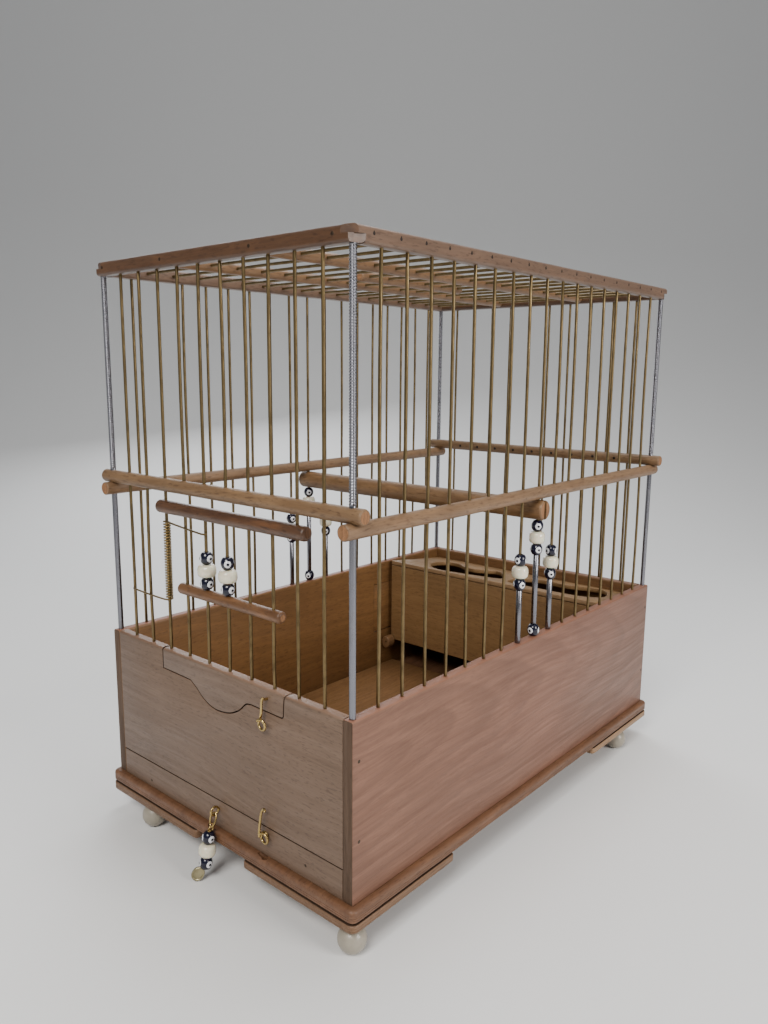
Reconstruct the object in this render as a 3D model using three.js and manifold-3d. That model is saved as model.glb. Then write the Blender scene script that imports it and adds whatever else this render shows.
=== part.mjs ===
// Canary breeding cage: a wooden base box with a pull-out dirt tray and a built-in feeder, and above it a wire cage
// of round rails, threaded corner posts, a sprung door, bead stacks and a perch.
// Millimetres. +X to the right, -Y to the front (door side), +Z up. Heights in the code are measured from the top
// edge of the base panels (LEVEL); the whole is then lifted so that the ball feet stand on Z = 0.
import * as THREE from "three";
import { mergeVertices } from "three/addons/utils/BufferGeometryUtils.js";
import Module from "manifold-3d";

const wasm = await Module();
wasm.setup();

// ---------------------------------------------------------------- driving dimensions
const PITCH = 14; // wire spacing, both directions
const HX = 77; // half distance between the two long wire planes
const HY = 126; // half distance between the front and back wire planes
const LEVEL = 93.75; // height of the base panels' top edge above the feet
const SHIFT_Y = 5.05; // moves the middle of the overall depth (with the hanging pull) onto Y = 0

const WIRE_R = 0.7;
const WIRE_SIDES = 6;
const HOLE_R = 1.31; // corner radius of the square holes that wires pass through
const POST_R = 1.45; // threaded part
const POST_PLAIN_R = 1.3; // plain part, as thick as a rolled thread's blank
const POST_HOLE_R = 1.9;
const PANEL_T = 5;
const PANEL_DEPTH = 73; // base panels, top edge to moulding
const PLATE_T = 5;
const PLATE_OUT = 5.5; // moulding's outer edge beyond the wire planes
const STRIP_T = 5; // corner strips under the moulding
const FOOT_R = 5.75;
const FIT = 0.1; // gap between flat faces that rest on each other

const MID_Z_SHORT = 74.6; // front and back mid rails
const MID_Z_LONG = 69.1; // left and right mid rails
const MID_R = 3;
const ROUND8 = 1.04; // an eight-sided rail of this ratio has the section of the round one
const TOP_Z0 = 165;
const TOP_Z1 = 171;
const TOP_HALF = 3;
const ROOF_Z = 168;
const ROOF_R = 2.5;

const TRAY_SEAM = -60;
const TRAY_FLOOR_Z = -69.8;
const TRAY_FLOOR_T = 3;
const TRAY_BACK_Y = 75;

const DOOR_HINGE_X = -35;
const HINGE_R = 4.06; // rounding of the door board's left edge about the hinge wire
const DOOR_RAIL_Z = 65.2;
const DOOR_RAIL_R = 2.9;
const DOOR_PERCH_Z = 30;
const DOOR_PERCH_R = 2.5;

const PERCH_R = 4.7;
const PERCH_Z = 61.2;

const FEEDER_Y = 70.5; // front face of the feeder
const FEEDER_SLOPE = 0.125; // the feeder's top falls towards the back

// ---------------------------------------------------------------- solids
function solid(geometry) {
  const flat = geometry.index ? geometry.toNonIndexed() : geometry.clone();
  const bare = new THREE.BufferGeometry().setAttribute("position", flat.getAttribute("position"));
  const merged = mergeVertices(bare, 1e-4);
  const made = new wasm.Manifold(
    new wasm.Mesh({
      numProp: 3,
      vertProperties: new Float32Array(merged.attributes.position.array),
      triVerts: new Uint32Array(merged.index.array),
    }),
  );
  return made;
}
function box(x0, x1, y0, y1, z0, z1) {
  return solid(
    new THREE.BoxGeometry(x1 - x0, y1 - y0, z1 - z0).translate((x0 + x1) / 2, (y0 + y1) / 2, (z0 + z1) / 2),
  );
}
function rodZ(x, y, z0, z1, r, sides = WIRE_SIDES) {
  return solid(
    new THREE.CylinderGeometry(r, r, z1 - z0, sides)
      .rotateX(Math.PI / 2)
      .rotateZ(Math.PI / sides)
      .translate(x, y, (z0 + z1) / 2),
  );
}
function rodX(x0, x1, y, z, r, sides = WIRE_SIDES) {
  return solid(
    new THREE.CylinderGeometry(r, r, x1 - x0, sides)
      .rotateZ(-Math.PI / 2)
      .rotateX(Math.PI / sides)
      .translate((x0 + x1) / 2, y, z),
  );
}
function rodY(x, y0, y1, z, r, sides = WIRE_SIDES) {
  return solid(
    new THREE.CylinderGeometry(r, r, y1 - y0, sides).rotateY(Math.PI / sides).translate(x, (y0 + y1) / 2, z),
  );
}
// A turned piece about a vertical line, from a closed [radius, height] profile listed upwards on the outside.
function turned(x, y, profile, sides = 12) {
  const pts = profile.map(([r, z]) => new THREE.Vector2(r, z));
  if (profile[0][0] > 0) pts.push(pts[0].clone());
  return solid(new THREE.LatheGeometry(pts, sides).rotateX(Math.PI / 2).translate(x, y, 0));
}
function extrudeUp(points, z0, z1) {
  const shape = new THREE.Shape(points.map(([x, y]) => new THREE.Vector2(x, y)));
  return solid(
    new THREE.ExtrudeGeometry(shape, { depth: z1 - z0, bevelEnabled: false, curveSegments: 6 }).translate(0, 0, z0),
  );
}
// An outline in X and Z, given thickness from y0 to y1.
function extrudeFront(points, y0, y1) {
  const shape = new THREE.Shape(points.map(([x, z]) => new THREE.Vector2(x, z)));
  return solid(
    new THREE.ExtrudeGeometry(shape, { depth: y1 - y0, bevelEnabled: false, curveSegments: 6 })
      .rotateX(Math.PI / 2)
      .translate(0, y1, 0),
  );
}
// An outline in Y and Z, given length from x0 to x1.
function extrudeSide(points, x0, x1) {
  const shape = new THREE.Shape(points.map(([y, z]) => new THREE.Vector2(y, z)));
  const turn = new THREE.Matrix4().set(0, 0, 1, x0, 1, 0, 0, 0, 0, 1, 0, 0, 0, 0, 0, 1);
  return solid(
    new THREE.ExtrudeGeometry(shape, { depth: x1 - x0, bevelEnabled: false, curveSegments: 6 }).applyMatrix4(turn),
  );
}
function bentWire(points, r, steps, sides = 6) {
  const path = new THREE.CatmullRomCurve3(
    points.map((p) => new THREE.Vector3(...p)),
    false,
    "centripetal",
  );
  const ring = [];
  for (let i = 0; i < sides; i++)
    ring.push(new THREE.Vector2(r * Math.cos((2 * Math.PI * i) / sides), r * Math.sin((2 * Math.PI * i) / sides)));
  return solid(
    new THREE.ExtrudeGeometry(new THREE.Shape(ring), { steps, extrudePath: path, bevelEnabled: false }),
  );
}
const join = (list) => list.reduce((a, b) => a.add(b));
const cut = (body, list) => list.reduce((a, b) => a.subtract(b), body);

const cage = new THREE.Group();
cage.position.set(0, SHIFT_Y, LEVEL);

const FINISH = {
  plate_wood: ["#a5754f", 0.62, 0],
  panel_wood: ["#a08a76", 0.6, 0],
  rail_wood: ["#c8a07a", 0.6, 0],
  top_wood: ["#a77b53", 0.6, 0],
  dark_wood: ["#6b4a2e", 0.65, 0],
  wire: ["#8a7a52", 0.38, 1],
  steel: ["#b8b8bc", 0.25, 1],
  brass: ["#a08a58", 0.3, 1],
  bead_mix: ["#e6e0cc", 0.2, 0],
  feet: ["#d9d4c4", 0.35, 0],
};
function put(name, body, finish) {
  const m = body.getMesh();
  const g = new THREE.BufferGeometry();
  const n = m.numProp;
  const pos = new Float32Array((m.vertProperties.length / n) * 3);
  for (let i = 0; i < pos.length / 3; i++)
    for (let k = 0; k < 3; k++) pos[3 * i + k] = m.vertProperties[n * i + k];
  g.setAttribute("position", new THREE.BufferAttribute(pos, 3));
  g.setIndex(new THREE.BufferAttribute(new Uint32Array(m.triVerts), 1));
  g.computeVertexNormals();
  const [color, roughness, metalness] = FINISH[finish];
  const mesh = new THREE.Mesh(g, new THREE.MeshStandardMaterial({ color, roughness, metalness }));
  mesh.name = name;
  cage.add(mesh);
}

// wire positions
const frontX = Array.from({ length: 10 }, (_, i) => -HX + PITCH * (i + 1)); // w1..w10
const sideY = Array.from({ length: 17 }, (_, i) => -HY + PITCH * (i + 1));
const roofY = Array.from({ length: 18 }, (_, i) => -HY + PITCH / 2 + PITCH * i);

// ---------------------------------------------------------------- foot, strips, plate
const plateX = HX + PLATE_OUT;
const plateY = HY + PLATE_OUT;
function roundedRect(x, y, r) {
  const out = [];
  for (const [cx, cy, a0] of [
    [x - r, y - r, 0],
    [-x + r, y - r, 90],
    [-x + r, -y + r, 180],
    [x - r, -y + r, 270],
  ])
    for (let k = 0; k <= 4; k++) {
      const a = ((a0 + 22.5 * k) * Math.PI) / 180;
      out.push([cx + r * Math.cos(a), cy + r * Math.sin(a)]);
    }
  return out;
}
put("base_plate", extrudeUp(roundedRect(plateX, plateY, 3), -PANEL_DEPTH - PLATE_T, -PANEL_DEPTH), "plate_wood");

const stripTop = -PANEL_DEPTH - PLATE_T - FIT;
const stripBottom = stripTop - STRIP_T + FIT;
const W = 10; // width of a strip
// L-shaped strip with its corner at (sx, sy), one arm along X to x1 and one along Y to y1
function strip(sx, sy, x1, y1) {
  const X = sx * plateX,
    Y = sy * plateY,
    r = 3;
  const pts = [
    [X, Y - sy * r],
    [X, y1 - sy * 0 + sy * 2],
    [X - sx * 2, y1],
    [X - sx * (W - 2), y1],
    [X - sx * W, y1 + sy * 2],
    [X - sx * W, Y - sy * W],
    [x1 + sx * 2, Y - sy * W],
    [x1, Y - sy * (W - 2)],
    [x1, Y - sy * 2],
    [x1 + sx * 2, Y],
    [X - sx * r, Y],
    [X - sx * r * 0.3, Y - sy * r * 0.3],
  ];
  if (sx * sy < 0) pts.reverse();
  return extrudeUp(pts, stripBottom, stripTop);
}
put("corner_strip_front_left", strip(-1, -1, -13.5, -67.6), "rail_wood");
put("corner_strip_front_right", strip(1, -1, 18.6, -67.6), "rail_wood");
put("corner_strip_back_left", strip(-1, 1, -18.6, 61), "rail_wood");
put("corner_strip_back_right", strip(1, 1, 18.6, 61), "rail_wood");

const footCentre = -LEVEL + 5.375;
function foot(x, y) {
  const profile = [];
  const low = -LEVEL,
    high = stripBottom - FIT;
  const a0 = Math.asin((low - footCentre) / FOOT_R),
    a1 = Math.asin(Math.min(1, (high - footCentre) / FOOT_R));
  profile.push([0, low]);
  for (let k = 0; k <= 6; k++) {
    const a = a0 + ((a1 - a0) * k) / 6;
    profile.push([FOOT_R * Math.cos(a), footCentre + FOOT_R * Math.sin(a)]);
  }
  profile[1][1] = low;
  profile[7][1] = high;
  profile.push([0, high]);
  return turned(x, y, profile, 12);
}
put("foot_front_left", foot(-54, -126.5), "feet");
put("foot_front_right", foot(77, -126), "feet");
put("foot_back_left", foot(-54, 126), "feet");
put("foot_back_right", foot(77, 101), "feet");

// ---------------------------------------------------------------- base panels
const inX = HX - PANEL_T / 2,
  outX = HX + PANEL_T / 2,
  inY = HY - PANEL_T / 2,
  outY = HY + PANEL_T / 2,
  panelBottom = -PANEL_DEPTH + FIT;
const wireHole = (x, y) => rodZ(x, y, -6, 1, HOLE_R, 4);
const DRAWER = { y0: 55.8, y1: 118.2, z0: -46.3, z1: -13.8 };

for (const [name, s] of [
  ["panel_left", -1],
  ["panel_right", 1],
]) {
  let p = box(Math.min(s * inX, s * outX), Math.max(s * inX, s * outX), -outY, outY, panelBottom, 0);
  const tools = sideY.map((y) => wireHole(s * HX, y));
  for (const y of [-HY, HY]) tools.push(rodZ(s * HX, y, -12, 1, POST_HOLE_R, 12));
  if (s < 0) tools.push(box(-outX - 1, -inX + 1, DRAWER.y0, DRAWER.y1, DRAWER.z0, DRAWER.z1));
  put(name, cut(p, tools), "panel_wood");
}
const endX = inX - FIT;
put(
  "panel_back",
  cut(
    box(-endX, endX, inY, outY, panelBottom, 0),
    frontX.map((x) => wireHole(x, HY)),
  ),
  "panel_wood",
);

// door board: outline of its seam in the front panel, from the left top corner round to the right top corner
const curve = new THREE.SplineCurve(
  [
    [-18, -9.8],
    [-13.6, -12.4],
    [-9.75, -15.3],
    [-4.4, -17.7],
    [1.3, -18.4],
    [9.1, -17.2],
    [15.6, -13.9],
    [19.4, -10.4],
    [22.6, -9.5],
  ].map(([x, z]) => new THREE.Vector2(x, z)),
);
const seam = [
  [-38.2, -9.4],
  ...curve.getPoints(18).map((p) => [p.x, p.y]),
  [41.3, -9.75],
  [42.5, -8.6],
  [42.8, -4],
  [43.4, -1.6],
  [45, 0],
];
// the same line moved sideways: positive widens the opening
function offset(line, d) {
  return line.map(([x, z], i) => {
    const [xa, za] = line[Math.max(0, i - 1)],
      [xb, zb] = line[Math.min(line.length - 1, i + 1)];
    const L = Math.hypot(xb - xa, zb - za);
    return [x + ((zb - za) / L) * d, z - ((xb - xa) / L) * d];
  });
}
const opening = offset(seam, 0.25);
const boardLine = offset(seam, -0.25);
const openingPts = [[-38.45, 3], [-38.45, -9.65], ...opening.slice(1, -1), [45.4, 0.1], [45.4, 3]];
let frontPanel = box(-endX, endX, -outY, -inY, TRAY_SEAM + FIT, 0);
frontPanel = cut(frontPanel, [
  rodZ(DOOR_HINGE_X, -HY, -9.65, 3, HINGE_R + 0.34, 32), // hollow edge that the board's rounded edge turns in
  extrudeFront(openingPts, -outY - 2, -inY + 2),
  ...[0, 1, 8, 9].map((i) => wireHole(frontX[i], -HY)),
]);
put("panel_front", frontPanel, "panel_wood");

// ---------------------------------------------------------------- corner posts
const postTop = TOP_Z1 - 1.5;
for (const [name, x, y] of [
  ["post_front_left", -HX, -HY],
  ["post_front_right", HX, -HY],
  ["post_back_left", -HX, HY],
  ["post_back_right", HX, HY],
])
  put(name, rodZ(x, y, -11.7, 75, POST_PLAIN_R, 12).add(rodZ(x, y, 75, postTop, POST_R, 12)), "steel");

// ---------------------------------------------------------------- mid rails
for (const [name, s] of [
  ["mid_rail_front", -1],
  ["mid_rail_back", 1],
]) {
  const r = rodX(-83, 83, s * HY, MID_Z_SHORT, MID_R * ROUND8, 8);
  const tools = [];
  for (const x of [-HX, HX]) {
    tools.push(rodY(x, s * HY - 6, s * HY + 6, MID_Z_LONG, MID_R + 0.25, 12));
    tools.push(rodZ(x, s * HY, 60, 90, POST_HOLE_R, 12));
  }
  frontX.forEach((x, i) => {
    tools.push(rodZ(x, s * HY, s < 0 && i > 2 && i < 8 ? 72.5 : 60, 90, HOLE_R, 4));
  });
  put(name, cut(r, tools), "rail_wood");
}
for (const [name, s] of [
  ["mid_rail_left", -1],
  ["mid_rail_right", 1],
]) {
  const r = rodY(s * HX, -131, 131, MID_Z_LONG, MID_R * ROUND8, 8);
  const tools = sideY.map((y) => rodZ(s * HX, y, 60, 80, HOLE_R, 4));
  for (const y of [-HY, HY]) tools.push(rodZ(s * HX, y, 60, 80, POST_HOLE_R, 12));
  put(name, cut(r, tools), "rail_wood");
}

// ---------------------------------------------------------------- top rails, half-lapped at the corners
const lapZ = (TOP_Z0 + TOP_Z1) / 2;
const lap = 0.05;
for (const [name, s] of [
  ["top_rail_front", -1],
  ["top_rail_back", 1],
]) {
  const y0 = s * HY - TOP_HALF,
    y1 = s * HY + TOP_HALF;
  const r = box(-80, 80, y0, y1, TOP_Z0, TOP_Z1);
  const tools = [];
  for (const x of [-HX, HX]) {
    tools.push(box(x - TOP_HALF - 0.1, x + TOP_HALF + 1, y0 - 1, y1 + 1, lapZ - lap, TOP_Z1 + 1));
    if (x < 0) tools.push(box(x - TOP_HALF - 1, x, y0 - 1, y1 + 1, lapZ - lap, TOP_Z1 + 1));
    if (x < 0) tools.push(box(x, x + TOP_HALF + 0.1, y0 - 1, y1 + 1, lapZ - lap, TOP_Z1 + 1));
    tools.push(rodZ(x, s * HY, TOP_Z0 - 1, TOP_Z1 + 1, POST_HOLE_R, 12));
  }
  // groove for the wire ends and the bar that joins them
  tools.push(box(-71, 71, s * HY - 1.1, s * HY + 1.1, TOP_Z0 - 1, TOP_Z0 + 2.6));
  put(name, cut(r, tools), "top_wood");
}
for (const [name, s] of [
  ["top_rail_left", -1],
  ["top_rail_right", 1],
]) {
  const x0 = s * HX - TOP_HALF,
    x1 = s * HX + TOP_HALF;
  const r = box(x0, x1, -129.5, 129.5, TOP_Z0, TOP_Z1);
  const tools = [];
  for (const t of [-1, 1]) {
    tools.push(
      box(x0 - 1, x1 + 1, Math.min(t * 122.9, t * 131), Math.max(t * 122.9, t * 131), TOP_Z0 - 1, lapZ + lap),
    );
    tools.push(rodZ(s * HX, t * HY, TOP_Z0, postTop + 0.5, POST_HOLE_R, 12));
  }
  tools.push(box(s * HX - 1.1, s * HX + 1.1, -117, 117, TOP_Z0 - 1, TOP_Z0 + 2.3));
  roofY.forEach((y) => tools.push(rodX(x0 - 1, x1 + 1, y, ROOF_Z, HOLE_R, 4)));
  put(name, cut(r, tools), "top_wood");
}

// ---------------------------------------------------------------- roof
const roofEnd = HY - TOP_HALF - FIT;
{
  const holes = roofY.map((y) => rodX(-40, 40, y, ROOF_Z, HOLE_R, 4));
  put(
    "roof_rail_left",
    cut(rodY(-28, -roofEnd, roofEnd, ROOF_Z, ROOF_R * ROUND8, 8), [
      ...holes,
      box(-29, -27, -roofEnd - 1, roofEnd + 1, ROOF_Z - 1, ROOF_Z + 4),
    ]),
    "rail_wood",
  );
  put("roof_rail_right", cut(rodY(28, -roofEnd, roofEnd, ROOF_Z, ROOF_R * ROUND8, 8), holes), "rail_wood");
  put("roof_rail_centre", cut(rodY(0, -40, 40, ROOF_Z, ROOF_R * ROUND8, 8), holes), "rail_wood");
  const wires = roofY.map((y) => rodX(-HX - TOP_HALF + 0.2, HX + TOP_HALF - 0.2, y, ROOF_Z, WIRE_R));
  put("roof_wires", join([...wires, box(-28.6, -27.4, roofY[0], roofY[17], ROOF_Z - 0.5, ROOF_Z + 0.5)]), "wire");
}

// ---------------------------------------------------------------- wires of the four sides
const wireFoot = -5.6;
const wireHead = TOP_Z0 + 1.3;
function wireRow(list, bar) {
  return join([...list, bar]);
}
for (const [name, s] of [
  ["wires_left", -1],
  ["wires_right", 1],
])
  put(
    name,
    wireRow(
      sideY.map((y) => rodZ(s * HX, y, wireFoot, wireHead, WIRE_R)),
      box(s * HX - 0.6, s * HX + 0.6, sideY[0], sideY[16], TOP_Z0 + 0.7, TOP_Z0 + 1.9),
    ),
    "wire",
  );
put(
  "wires_back",
  wireRow(
    frontX.map((x) => rodZ(x, HY, wireFoot, wireHead, WIRE_R)),
    box(frontX[0], frontX[9], HY - 0.6, HY + 0.6, TOP_Z0 + 0.7, TOP_Z0 + 1.9),
  ),
  "wire",
);
// w1, w2 and the door's hinge wire w3; w3 starts just above the door board's lower edge
put(
  "wires_front_left",
  wireRow(
    [0, 1, 2].map((i) => rodZ(frontX[i], -HY, i === 2 ? -9.2 : wireFoot, wireHead, WIRE_R)),
    box(frontX[0], frontX[2], -HY - 0.6, -HY + 0.6, TOP_Z0 + 0.7, TOP_Z0 + 1.9),
  ),
  "wire",
);
put(
  "wires_front_upper",
  wireRow(
    [3, 4, 5, 6, 7].map((i) => rodZ(frontX[i], -HY, 73, wireHead, WIRE_R)),
    box(frontX[3], frontX[7], -HY - 0.6, -HY + 0.6, TOP_Z0 + 0.7, TOP_Z0 + 1.9),
  ),
  "wire",
);
put(
  "wires_front_right",
  wireRow(
    [8, 9].map((i) => rodZ(frontX[i], -HY, wireFoot, wireHead, WIRE_R)),
    box(frontX[8], frontX[9], -HY - 0.6, -HY + 0.6, TOP_Z0 + 0.7, TOP_Z0 + 1.9),
  ),
  "wire",
);

// ---------------------------------------------------------------- beads
// closed profile, outside listed upwards, then down the bore
function bead(z0, h, r, bore) {
  return [
    [bore, z0],
    [r * 0.68, z0],
    [r, z0 + h * 0.28],
    [r, z0 + h * 0.72],
    [r * 0.68, z0 + h],
    [bore, z0 + h],
  ];
}
const NAVY_R = 2.8,
  IVORY_R = 3.8,
  TUBE_R = 1.35,
  BORE = 1.08;
const joinBy = 0.02; // beads of one stack share this much, so that the stack is one piece
function stack(x, y, list, ivoryR = IVORY_R) {
  return join(
    list.map(([kind, z0, z1]) =>
      kind === "tube"
        ? turned(
            x,
            y,
            [
              [BORE, z0 - joinBy],
              [TUBE_R, z0 - joinBy],
              [TUBE_R, z1 + joinBy],
              [BORE, z1 + joinBy],
            ],
            8,
          )
        : turned(x, y, bead(z0 - joinBy, z1 - z0 + 2 * joinBy, kind === "navy" ? NAVY_R : ivoryR, BORE), 8),
    ),
  );
}
const outerStack = [
  ["tube", 0.3, 25.3],
  ["navy", 25.3, 31],
  ["ivory", 31, 36.8],
  ["navy", 36.8, 42.3],
];
const centreStack = [
  ["navy", 0.3, 6],
  ["tube", 6, 39.6],
  ["navy", 39.6, 45.2],
  ["ivory", 45.2, 50.9],
  ["navy", 50.9, 56.3],
];
for (const [side, s] of [
  ["left", -1],
  ["right", 1],
]) {
  put(`bead_stack_${side}_front`, stack(s * HX, -PITCH, outerStack), "bead_mix");
  put(`bead_stack_${side}_centre`, stack(s * HX, 0, centreStack), "bead_mix");
  put(`bead_stack_${side}_back`, stack(s * HX, PITCH, outerStack), "bead_mix");
}

// ---------------------------------------------------------------- perch with a kerf at each end that straddles the centre wires
put(
  "perch",
  cut(rodX(-81, 81, 0, PERCH_Z, PERCH_R, 16), [
    box(75.9, 83, -1.05, 1.05, 50, 72),
    box(-83, -75.9, -1.05, 1.05, 50, 72),
  ]),
  "rail_wood",
);

// ---------------------------------------------------------------- door
{
  const pts = [[DOOR_HINGE_X, 0], [DOOR_HINGE_X, -9.2], ...boardLine.slice(1, -1), [44.4, 0]];
  let board = extrudeFront(pts, -outY, -inY);
  board = board.add(
    rodZ(DOOR_HINGE_X, -HY, -9.2, 0, HINGE_R, 32).intersect(
      box(DOOR_HINGE_X - 6, DOOR_HINGE_X + 1, -outY, -inY, -9.2, 0),
    ),
  );
  board = cut(board, [
    rodZ(DOOR_HINGE_X, -HY, -12, 2, 1.1, 8),
    box(-23, 37, -HY - 1, -HY + 1, -2.9, 1), // groove for the wire ends
    rodY(33.2, -outY - 1, -127.2, -3.9, 0.95, 8), // hole of the wire hook
  ]);
  put("door_board", board, "panel_wood");
}
const doorX = [3, 4, 5, 6, 7].map((i) => frontX[i]);
put(
  "door_wires",
  wireRow(
    doorX.map((x) => rodZ(x, -HY, -1.9, DOOR_RAIL_Z + 1.6, WIRE_R)),
    box(doorX[0], doorX[4], -HY - 0.6, -HY + 0.6, -2.5, -1.3),
  ),
  "wire",
);
put(
  "door_mid_rail",
  cut(
    rodX(-26, 40.3, -HY, DOOR_PERCH_Z, DOOR_PERCH_R * ROUND8, 8),
    doorX.map((x) => rodZ(x, -HY, 20, 40, HOLE_R, 4)),
  ),
  "rail_wood",
);
put(
  "door_top_rail",
  cut(rodX(-38.4, 55.5, -127, DOOR_RAIL_Z, DOOR_RAIL_R * ROUND8, 8), [
    ...[DOOR_HINGE_X, ...doorX].map((x) => rodZ(x, -HY, 55, 75, x === DOOR_HINGE_X ? 1.1 : HOLE_R, x === DOOR_HINGE_X ? 8 : 4)),
    box(frontX[8] - 1.2, frontX[8] + 1.2, -127.05, -120, 60, 70), // notch that stops against wire w9
  ]),
  "top_wood",
);
const doorBeads = [
  ["navy", 32.62, 38],
  ["ivory", 38, 43.6],
  ["navy", 43.6, 49],
];
put("door_beads_left", stack(frontX[4], -HY, doorBeads, 4), "bead_mix");
put("door_beads_right", stack(frontX[5], -HY, doorBeads, 4), "bead_mix");

// torsion spring round the hinge wire: lower arm on w2 and w1, upper arm on the door's w4 and w5
{
  const R = 1.4,
    r = 0.34,
    turns = 9,
    z0 = 23.2,
    z1 = 55.8;
  const y = -HY - R;
  const pts = [
    [-62, y - 0.1, 23],
    [-55, y - 0.05, 22.9],
    [-48, y, 22.8],
    [-41, y, 22.8],
    [-37, y, 22.85],
    [-36, y, 22.95],
  ];
  for (let k = 0; k <= turns * 8; k++) {
    const a = -Math.PI / 2 + (k * Math.PI) / 4;
    pts.push([DOOR_HINGE_X + R * Math.cos(a), -HY + R * Math.sin(a), z0 + ((z1 - z0) * k) / (turns * 8)]);
  }
  pts.push([-34, y, 56], [-33, y, 56.1], [-28, y, 56.2], [-21, y, 56.3], [-12, y - 0.05, 56.3], [-5.5, y - 0.1, 56.3]);
  put("door_spring", bentWire(pts, r, 84, 4), "steel");
}

// wire hooks: a two-turn eye, a straight leg, and an end bent into the wood
const HOOK_R = 0.55,
  EYE_R = 2.25;
{
  // door hook: pivots where its upper end enters the door board
  const cx = 32.5,
    cz = -14.2;
  const pts = [
    [33.2, -127.6, -3.9],
    [33.2, -128.9, -3.9],
    [33.2, -129.9, -3.75],
    [33.2, -130.7, -3.3],
    [33.1, -131.1, -3.2],
    [32.8, -131.1, -4.4],
    [32.4, -130.95, -6.6],
    [32.0, -130.75, -9.2],
    [31.5, -130.65, -11.2],
    [30.85, -130.6, -12.6],
  ];
  for (let k = 0; k <= 14; k++) {
    const a = Math.PI * (0.93 + (k * 1.85) / 14);
    pts.push([cx + EYE_R * Math.cos(a), -130.55 - 0.09 * k, cz + EYE_R * Math.sin(a)]);
  }
  put("door_hook", bentWire(pts, HOOK_R, 40, 6), "brass");
}
{
  // tray hook: pivots where the inner end of its eye enters the tray front
  const cx = 32,
    cz = -63.8;
  const pts = [
    [cx, -127.4, cz],
    [cx, -128.7, cz],
    [cx + 0.1, -129.4, cz + 0.1],
    [cx + 0.8, -129.7, cz + 0.9],
    [cx + 0.6, -129.72, cz + 2.0],
  ];
  for (let k = 0; k <= 16; k++) {
    const a = Math.PI * (0.6 + (k * 2.38) / 16);
    pts.push([cx + EYE_R * Math.cos(a), -129.75 - 0.09 * k, cz + EYE_R * Math.sin(a)]);
  }
  pts.push(
    [cx - 2, -131.25, -60.3],
    [cx - 1.5, -131.2, -56.8],
    [cx - 1, -131.1, -53.6],
    [cx - 0.3, -131.1, -51.6],
    [cx + 0.7, -131.2, -50.4],
    [cx + 1.5, -131.4, -50.2],
    [cx + 2.1, -131.7, -50.5],
  );
  put("tray_hook", bentWire(pts, HOOK_R, 46, 6), "brass");
}

// ---------------------------------------------------------------- dirt tray
put(
  "tray_front",
  cut(box(-endX + 0.2, endX - 0.2, -outY, -inY, TRAY_FLOOR_Z - TRAY_FLOOR_T, TRAY_SEAM - FIT), [
    rodY(0, -outY - 1, -126, -64, 0.95, 8),
    rodY(32, -outY - 1, -127, -63.8, 0.95, 8),
  ]),
  "panel_wood",
);
put(
  "tray_floor",
  box(-endX + 0.2, endX - 0.2, -inY + FIT, TRAY_BACK_Y, TRAY_FLOOR_Z - TRAY_FLOOR_T, TRAY_FLOOR_Z),
  "dark_wood",
);
put(
  "tray_eye",
  rodY(0, -129.3, -126.4, -64, 0.6, 8).add(
    solid(new THREE.TorusGeometry(1.9, 0.5, 6, 12).rotateY(Math.PI / 2).translate(0, -131, -64)),
  ),
  "brass",
);
{
  // hanging pull: its link leans outwards over the moulding's edge, the beads hang from it more steeply, and the
  // blank oval drop stands off to the left
  const LINK_LEAN = (20 * Math.PI) / 180,
    BEAD_LEAN = (9.3 * Math.PI) / 180;
  const py = -131,
    pz = -64.78;
  const onLink = (g) => g.rotateX(-LINK_LEAN).translate(0, py, pz);
  const first = [-134.5, -74.8]; // Y and Z of the first bead's middle
  const onBeads = (g) => g.rotateX(-BEAD_LEAN).translate(0, first[0], first[1]);
  const link = new THREE.TorusGeometry(2.1, 0.42, 6, 12).scale(0.8, 1.5, 1).rotateX(Math.PI / 2).translate(0, 0, -3.15);
  const lathe = (profile, sides) => {
    const pts = profile.map(([r, z]) => new THREE.Vector2(r, z));
    pts.push(pts[0].clone());
    return new THREE.LatheGeometry(pts, sides).rotateX(Math.PI / 2);
  };
  const at = (s) => [0, first[0] - s * Math.sin(BEAD_LEAN), first[1] - s * Math.cos(BEAD_LEAN)];
  const drop = [-1.75, -139.37, -90.45];
  const parts = [
    solid(onLink(link)),
    solid(onBeads(new THREE.CylinderGeometry(0.5, 0.5, 18.2, 10).rotateX(Math.PI / 2).translate(0, 0, -5.8))),
    bentWire([[0, -133.02, -70.2], [0, -133.5, -71.4], at(-2.6), at(-1.6)], 0.45, 6, 6),
    bentWire([at(13), at(14.4), [-0.5, -138, -89.4], drop], 0.45, 6, 6),
    solid(onBeads(lathe(bead(-2.8, 5.6, NAVY_R, 0.4), 10))),
    solid(onBeads(lathe(bead(-8.4, 5.62, IVORY_R, 0.4), 10))),
    solid(onBeads(lathe(bead(-14, 5.62, NAVY_R, 0.4), 10))),
  ];
  {
    const long = new THREE.Vector3(-0.35, -0.45, -0.82).normalize();
    const face = new THREE.Vector3(0.76, -0.6, 0.25);
    face.addScaledVector(long, -face.dot(long)).normalize();
    const across = new THREE.Vector3().crossVectors(face, long).normalize();
    const turn = new THREE.Matrix4().makeBasis(across, face, long).setPosition(...drop);
    parts.push(solid(new THREE.CylinderGeometry(1, 1, 1.2, 16).scale(2.7, 1, 3.2).applyMatrix4(turn)));
  }
  put("pull", join(parts), "bead_mix");
}

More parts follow.
